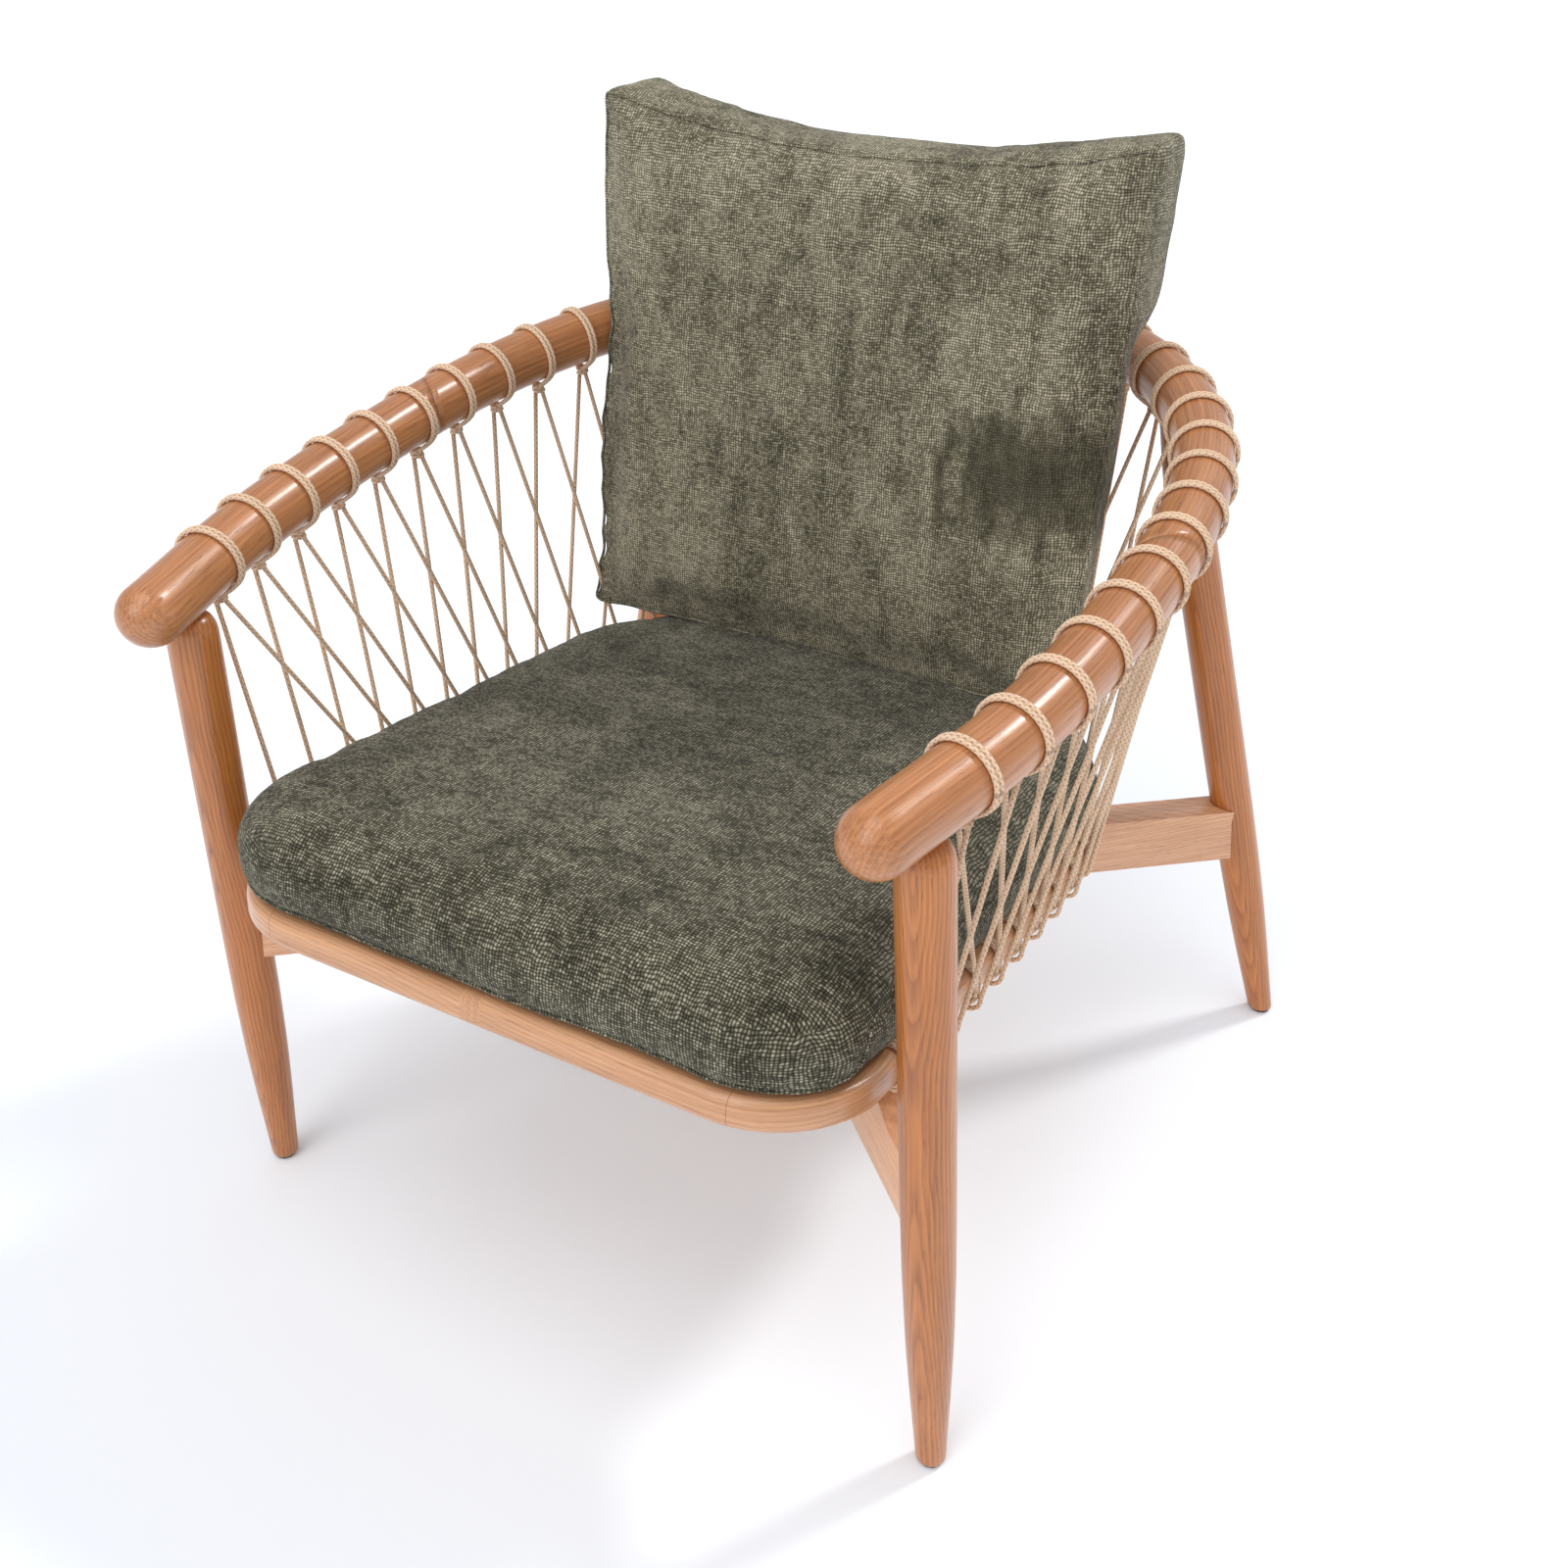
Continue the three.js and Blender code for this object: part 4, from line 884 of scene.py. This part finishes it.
def back_shape(across, depth, up, spare=5.0):
    """The back cushion before it is stuffed: its CAD solid, its faces a spare distance inside."""
    height = BACK_TOP - BACK_BOTTOM
    level = BACK_BOTTOM + height * up
    pressed = 1 - smoothstep(level, BACK_NECK, BACK_NECK + 45)
    fullness = math.sin(math.pi * up)
    front = BACK_FRONT + BACK_LEAN * height * up
    swell = (BACK_SWELL - 6) * (1 - across ** 2) * fullness
    crown = (BACK_CROWN - 14) * (1 - across ** 4) * math.sqrt(max(fullness, 0))
    back = front + BACK_BOXING + crown - BACK_PRESS * pressed * across ** 4
    half = BACK_HALF_WIDTH - 10 * (1 - up) ** 3 - (19 - 13 * across) * depth * pressed
    sag = (BACK_SAG + 3) * (1 - across ** 2) * up
    free = 1 - 0.7 * math.exp(-((level - RAIL_LEVEL) / 50) ** 2)
    left = (1 - depth) * max(-across, 0) ** 2
    y = (front - swell + spare) * (1 - depth) + (back - spare) * depth
    return BACK_MIDDLE + half * across - BACK_FLARE * free * left * across ** 2, y - 3 * left, level - sag


def seam_line(shape, corners, count=60):
    """Points along straight runs between corners of a box shell's parameters."""
    steps = np.linspace(0, 1, count, endpoint=False)
    runs = zip(np.array(corners), np.array(corners[1:]))
    return np.array([shape(*(start * (1 - t) + end * t)) for start, end in runs for t in steps])


def resample(path, step):
    """Even points along a closed path."""
    path = np.vstack([path, path[:1]])
    along = distances(path)
    return sample(path, along, np.linspace(0, along[-1], max(int(along[-1] / step), 8), endpoint=False))


def tree_of(points):
    tree = KDTree(len(points))
    for i, point in enumerate(points):
        tree.insert(point, i)
    tree.balance()
    return tree


def mesh_points(mesh, values="co"):
    """A mesh's points, or its normals."""
    found = np.empty(len(mesh.vertices) * 3, np.float32)
    mesh.vertices.foreach_get(values, found)
    return found.reshape(-1, 3).astype(float)


def move_points(mesh, points):
    mesh.vertices.foreach_set("co", points.astype(np.float32).ravel())


def even_out(values, rounds, middle=1):
    """Values round a closed path, each averaged with its neighbours."""
    for _ in range(rounds):
        values = (np.roll(values, 1, 0) + middle * values + np.roll(values, -1, 0)) / (2 + middle)
    return values


def stuff(piece, cap, pressure=4.0):
    """Puffs a shell like stuffed cloth by simulation, and returns how each vertex moved."""
    before = mesh_points(piece.data)
    cloth = piece.modifiers.new("stuffing", "CLOTH")
    settings = cloth.settings
    settings.use_pressure = True
    settings.uniform_pressure_force = pressure
    settings.effector_weights.gravity = 0
    settings.quality = 5
    settings.mass = 0.3
    settings.tension_stiffness = settings.compression_stiffness = 18
    settings.shear_stiffness = 8
    settings.bending_stiffness = 0.6
    cloth.collision_settings.use_collision = False
    cloth.point_cache.frame_start, cloth.point_cache.frame_end = 1, 20
    scene = bpy.context.scene
    for number in range(1, 21):
        scene.frame_set(number)
    evaluated = piece.evaluated_get(bpy.context.evaluated_depsgraph_get())
    after = mesh_points(evaluated.to_mesh())
    evaluated.to_mesh_clear()
    piece.modifiers.clear()
    scene.frame_set(1)
    move = after - before
    length = np.linalg.norm(move, axis=1, keepdims=True)
    room = (cap(before * 1000 - SHIFT * 1000) / 1000)[:, None]
    soft = room * np.tanh(length / np.maximum(room, 1e-6))
    return before, move * np.where(length > 1e-9, soft / np.maximum(length, 1e-9), 0)


def hash_wave(s, seed):
    """A smooth, repeatable random wave along a seam."""
    waves = enumerate((0.061, 0.113, 0.197, 0.271))
    return sum(np.sin(s * f + seed * (1.7 + i)) / (i + 1) for i, f in waves) / 2


SEAM_STEP, PUCKER = 4.0, 0.8


def cushion(name, node, material, points, faces, seams, cap, fit, voxel, rounds):
    """A stuffed cushion: shell, remesh, simulation, subdivision, then pinched seams and welts.

    fit lists (axis, mm past the CAD node's low side, mm past its high side), to which it is stretched.
    """
    mesh = bpy.data.meshes.new(name)
    mesh.from_pydata((points / 1000 + SHIFT).tolist(), [], [tuple(face) for face in faces])
    piece = add_object(name, mesh)
    fix_normals(piece)
    remesh = piece.modifiers.new("even", "REMESH")
    remesh.mode, remesh.voxel_size = "VOXEL", voxel
    apply_modifiers(piece)
    before = mesh_points(piece.data)
    ease = piece.modifiers.new("ease", "SMOOTH")
    ease.factor, ease.iterations = 0.5, rounds
    apply_modifiers(piece)
    eased, move = stuff(piece, cap)
    after = eased + move
    low, high = (np.array(corner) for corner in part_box(node))
    for axis, below, above in fit:
        near, far = after[:, axis].min(), after[:, axis].max()
        start, end = low[axis] - below / 1000, high[axis] + above / 1000
        after[:, axis] = start + (after[:, axis] - near) * (end - start) / (far - near)
    move = after - before
    move_points(piece.data, after)
    followers = tree_of(before)
    tracks = []
    for path in seams:
        path = resample(path, SEAM_STEP) / 1000 + SHIFT
        moved = []
        for point in path:
            near = followers.find_n(point, 6)
            weights = np.array([1 / (distance + 0.002) for _, _, distance in near])
            shift = sum(w * move[i] for w, (_, i, _) in zip(weights, near)) / weights.sum()
            moved.append(point + shift)
        tracks.append(even_out(np.array(moved), 6, middle=2))
    divide = piece.modifiers.new("fine", "SUBSURF")
    divide.levels = divide.render_levels = 1
    apply_modifiers(piece)
    crease(piece, tracks)
    piece.data.shade_smooth()
    finish_piece(piece, [node], material)
    for i, track in enumerate(tracks):
        welt(f"{name}_welt_{i + 1}", piece, track, material)


def crease(piece, tracks):
    """Sinks the cloth along its seams, gathers it beside them and adds slack wrinkles."""
    points, normals = mesh_points(piece.data), mesh_points(piece.data, "normal")
    shift = np.zeros(len(points))
    for number, track in enumerate(tracks):
        tree = tree_of(track)
        _, index, distance = zip(*(tree.find(point) for point in points))
        s, distance = np.array(index) * SEAM_STEP, np.array(distance) * 1000
        gather = hash_wave(s * 2.4, 3.1 + number) * np.exp(-distance / 26) * (1 - np.exp(-distance / 5))
        shift += PUCKER * gather - 2.4 * np.exp(-(distance / 3.8) ** 2)
    x, y, z = (points * 1000).T
    slack = np.sin(x / 31 + 1.7 * np.sin(z / 53 + y / 61)) * np.sin(z / 39 + y / 43 + 1.3 * np.sin(x / 67))
    shift += 1.1 * slack
    points = points + normals * (shift / 1000)[:, None]
    move_points(piece.data, points)
    piece.data.update()


def welt(name, piece, track, material):
    """A thin folded welt that stands in the sunk seam."""
    points, normals = mesh_points(piece.data), mesh_points(piece.data, "normal")
    tree = tree_of(points)
    nearest = [tree.find(point)[1] for point in track]
    up = normals[nearest]
    for _ in range(40):
        up = unit(even_out(up, 1))
    seat = even_out(points[nearest], 3)
    path = (seat - SHIFT) * 1000 + up * 0.9
    tangent = unit(np.roll(path, -1, 0) - np.roll(path, 1, 0))
    wide, high = 1.9 * unit(np.cross(tangent, up)), 1.4 * up
    rows = path[:, None] + around(wide[:, None], high[:, None], full_turn(8), 1.0)
    place(name, [part(rows, grid_faces(len(path), 8, wrap_rows=True), rows)], (), material)


def build_back_cushion():
    points, faces = box_shell((40, 12, 36), back_shape)
    outline = [(-1, 0), (1, 0), (1, 1), (-1, 1), (-1, 0)]
    seams = [seam_line(back_shape, [(across, depth, up) for across, up in outline]) for depth in (0, 1)]

    def cap(at):
        behind = smoothstep(at[:, 1] - BACK_FRONT - BACK_LEAN * (at[:, 2] - BACK_BOTTOM), 30, 90)
        beside = smoothstep(np.abs(at[:, 0] - BACK_MIDDLE), 205, 240)
        below = 1 - smoothstep(at[:, 2], 395, 440)
        return (17 - 7 * behind) * (1 - 0.6 * beside) * (1 - 0.7 * below) + 2

    cushion("back_cushion_cover", "back_cushion", BACK_FABRIC, points, faces, seams, cap,
            fit=((0, 7, 0), (2, 0, 0)), voxel=0.005, rounds=16)


def loft(rings):
    """A closed shell through rings of points, closed by fans at both ends."""
    count = len(rings[0])
    points = np.vstack(rings)
    faces = grid_faces(len(rings), count)
    low, high = len(points), len(points) + 1
    points = np.vstack([points, rings[0].mean(0), rings[-1].mean(0)])
    tail = (len(rings) - 1) * count
    for j in range(count):
        k = (j + 1) % count
        faces.append((low, k, j))
        faces.append((high, tail + j, tail + k))
    return points, faces


SEAT_LOW, SEAT_TOP = 31.5, 96.0


def build_seat_cushion():
    profile = [(60, SEAT_LOW), (18, SEAT_LOW), (9, SEAT_LOW + 3), (5, SEAT_LOW + 10), (1, SEAT_LOW + 22),
               (0, SEAT_LOW + 34), (4, SEAT_TOP - 17), (12, SEAT_TOP - 6), (28, SEAT_TOP), (64, SEAT_TOP + 4),
               (130, SEAT_TOP + 8)]
    rings = []
    for inset, z in profile:
        front = 1 - smoothstep(ring_outline(inset)[:, 1], -50, -5)
        reach = 6.0 * math.exp(-((inset - 3) / 12) ** 2)
        outline = ring_outline(inset) * (1 - front[:, None]) + ring_outline(inset - reach) * front[:, None]
        sink = 2.6 + 5.0 * math.exp(-((inset - 3) / 5) ** 2)
        droop = sink * front * (1 - smoothstep(z, SEAT_LOW + 14, SEAT_LOW + 34))
        rings.append(seat_to_chair(np.column_stack([outline, z - droop])))
    points, faces = loft(rings)
    outline = ring_outline(5)
    behind = smoothstep(outline[:, 1], -34, -18)
    boxing = seat_to_chair(np.column_stack([outline, SEAT_LOW + 7 + (SEAT_TOP - 27 - SEAT_LOW) * behind]))
    outline = ring_outline(16)
    under = seat_to_chair(np.column_stack([outline, np.full(len(outline), SEAT_LOW)]))

    def cap(at):
        level = at[:, 2] - (SEAT_HEIGHT - SEAT_SLOPE * at[:, 1])
        return 3 + 6 * smoothstep(level, 60, 100)

    cushion("seat_cushion_cover", "seat_cushion", SHADED_SEAT_FABRIC, points, faces,
            [boxing, under], cap, fit=((0, 4, 4), (1, 4, 2)), voxel=0.006, rounds=3)


# ---- Kept CAD nodes ----

def dress_hidden_nodes():
    for node, thing in frame["nodes"].items():
        if "_dowel_" in node or node.startswith(("rail_dowel", "leg_dowel")):
            material = DOWEL_WOOD
        elif node.startswith(("ring_bolt", "deck_screw")):
            material = STEEL
        elif node.startswith("foot_glide"):
            material = NYLON
        elif node == "seat_deck":
            material = PLY
        else:
            continue
        for slot in thing.material_slots:
            slot.material = material


# ---- Floor, light and camera ----

def build_stage():
    mesh = bpy.data.meshes.new("floor")
    mesh.from_pydata([(-40, -40, 0), (40, -40, 0), (40, 40, 0), (-40, 40, 0)], [], [(0, 1, 2, 3)])
    floor = add_object("floor", mesh)
    n = Nodes("pale_floor")
    mottle = n.noise(n.place_vector(), 3)
    colour = n.mix(mottle, (0.915, 0.935, 0.970), (0.925, 0.945, 0.980))
    mesh.materials.append(n.surface(Base_Color=colour, Roughness=0.7, Specular_IOR_Level=0.2,
                                    Emission_Color=(0.50, 0.75, 1.0, 1), Emission_Strength=0.085))


def sun(name, towards, spread, power, colour):
    """A soft distant light that shines from a direction."""
    data = bpy.data.lights.new(name, "SUN")
    data.angle, data.energy, data.color = math.radians(spread), power, colour
    add_object(name, data).rotation_euler = Vector(towards).to_track_quat("Z", "Y").to_euler()


def build_lights():
    world = bpy.data.worlds.new("studio")
    bpy.context.scene.world = world
    world.use_nodes = True
    sky = world.node_tree.nodes["Background"].inputs
    sky["Color"].default_value = (0.965, 0.975, 1.0, 1)
    sky["Strength"].default_value = 0.58
    sun("overhead", (0.0, -0.25, 1.0), 40, 0.78, (1.0, 0.995, 0.985))
    sun("back_right", (0.45, 0.80, 0.95), 9, 1.1, (1.0, 0.985, 0.965))
    sun("front_left", (-0.15, -0.95, 0.65), 40, 0.95, (1.0, 0.99, 0.98))


def build_camera():
    """A 38.6 mm lens, 29.4 degrees round from the front and 31.7 degrees up, rolled slightly."""
    azimuth, elevation, roll = (math.radians(angle) for angle in (29.357, 31.674, 0.398))
    level = math.cos(elevation)
    back = Vector((math.sin(azimuth) * level, -math.cos(azimuth) * level, math.sin(elevation)))
    right = Vector((math.cos(azimuth), math.sin(azimuth), 0))
    up = back.cross(right)
    c, s = math.cos(roll), math.sin(roll)
    across, above = right * c + up * s, up * c - right * s
    data = bpy.data.cameras.new("camera")
    data.sensor_width, data.lens = 36.0, 38.617
    data.clip_end = 200
    camera = add_object("camera", data)
    camera.matrix_world = Matrix((across, above, back)).transposed().to_4x4()
    camera.location = (0.6330, -0.7747 + SHIFT[1], 1.1126)
    bpy.context.scene.camera = camera


build_camera()
build_lights()
build_stage()
build_rail()
for leg, (foot, top, end) in LEGS.items():
    build_leg(leg, foot, top, end)
for front, rear in (("left", "right"), ("right", "left")):
    bar = f"stretcher_front_{front}_to_rear_{rear}"
    start, end = LEGS[f"front_{front}_leg"][0], LEGS[f"rear_{rear}_leg"][0]
    eased_copy(bar, bar + "_timber", start, end, LIT_BAR_WOOD)
build_ring()
build_cords()
build_seat_cushion()
build_back_cushion()
dress_hidden_nodes()
bpy.context.scene.view_settings.view_transform = "Standard"
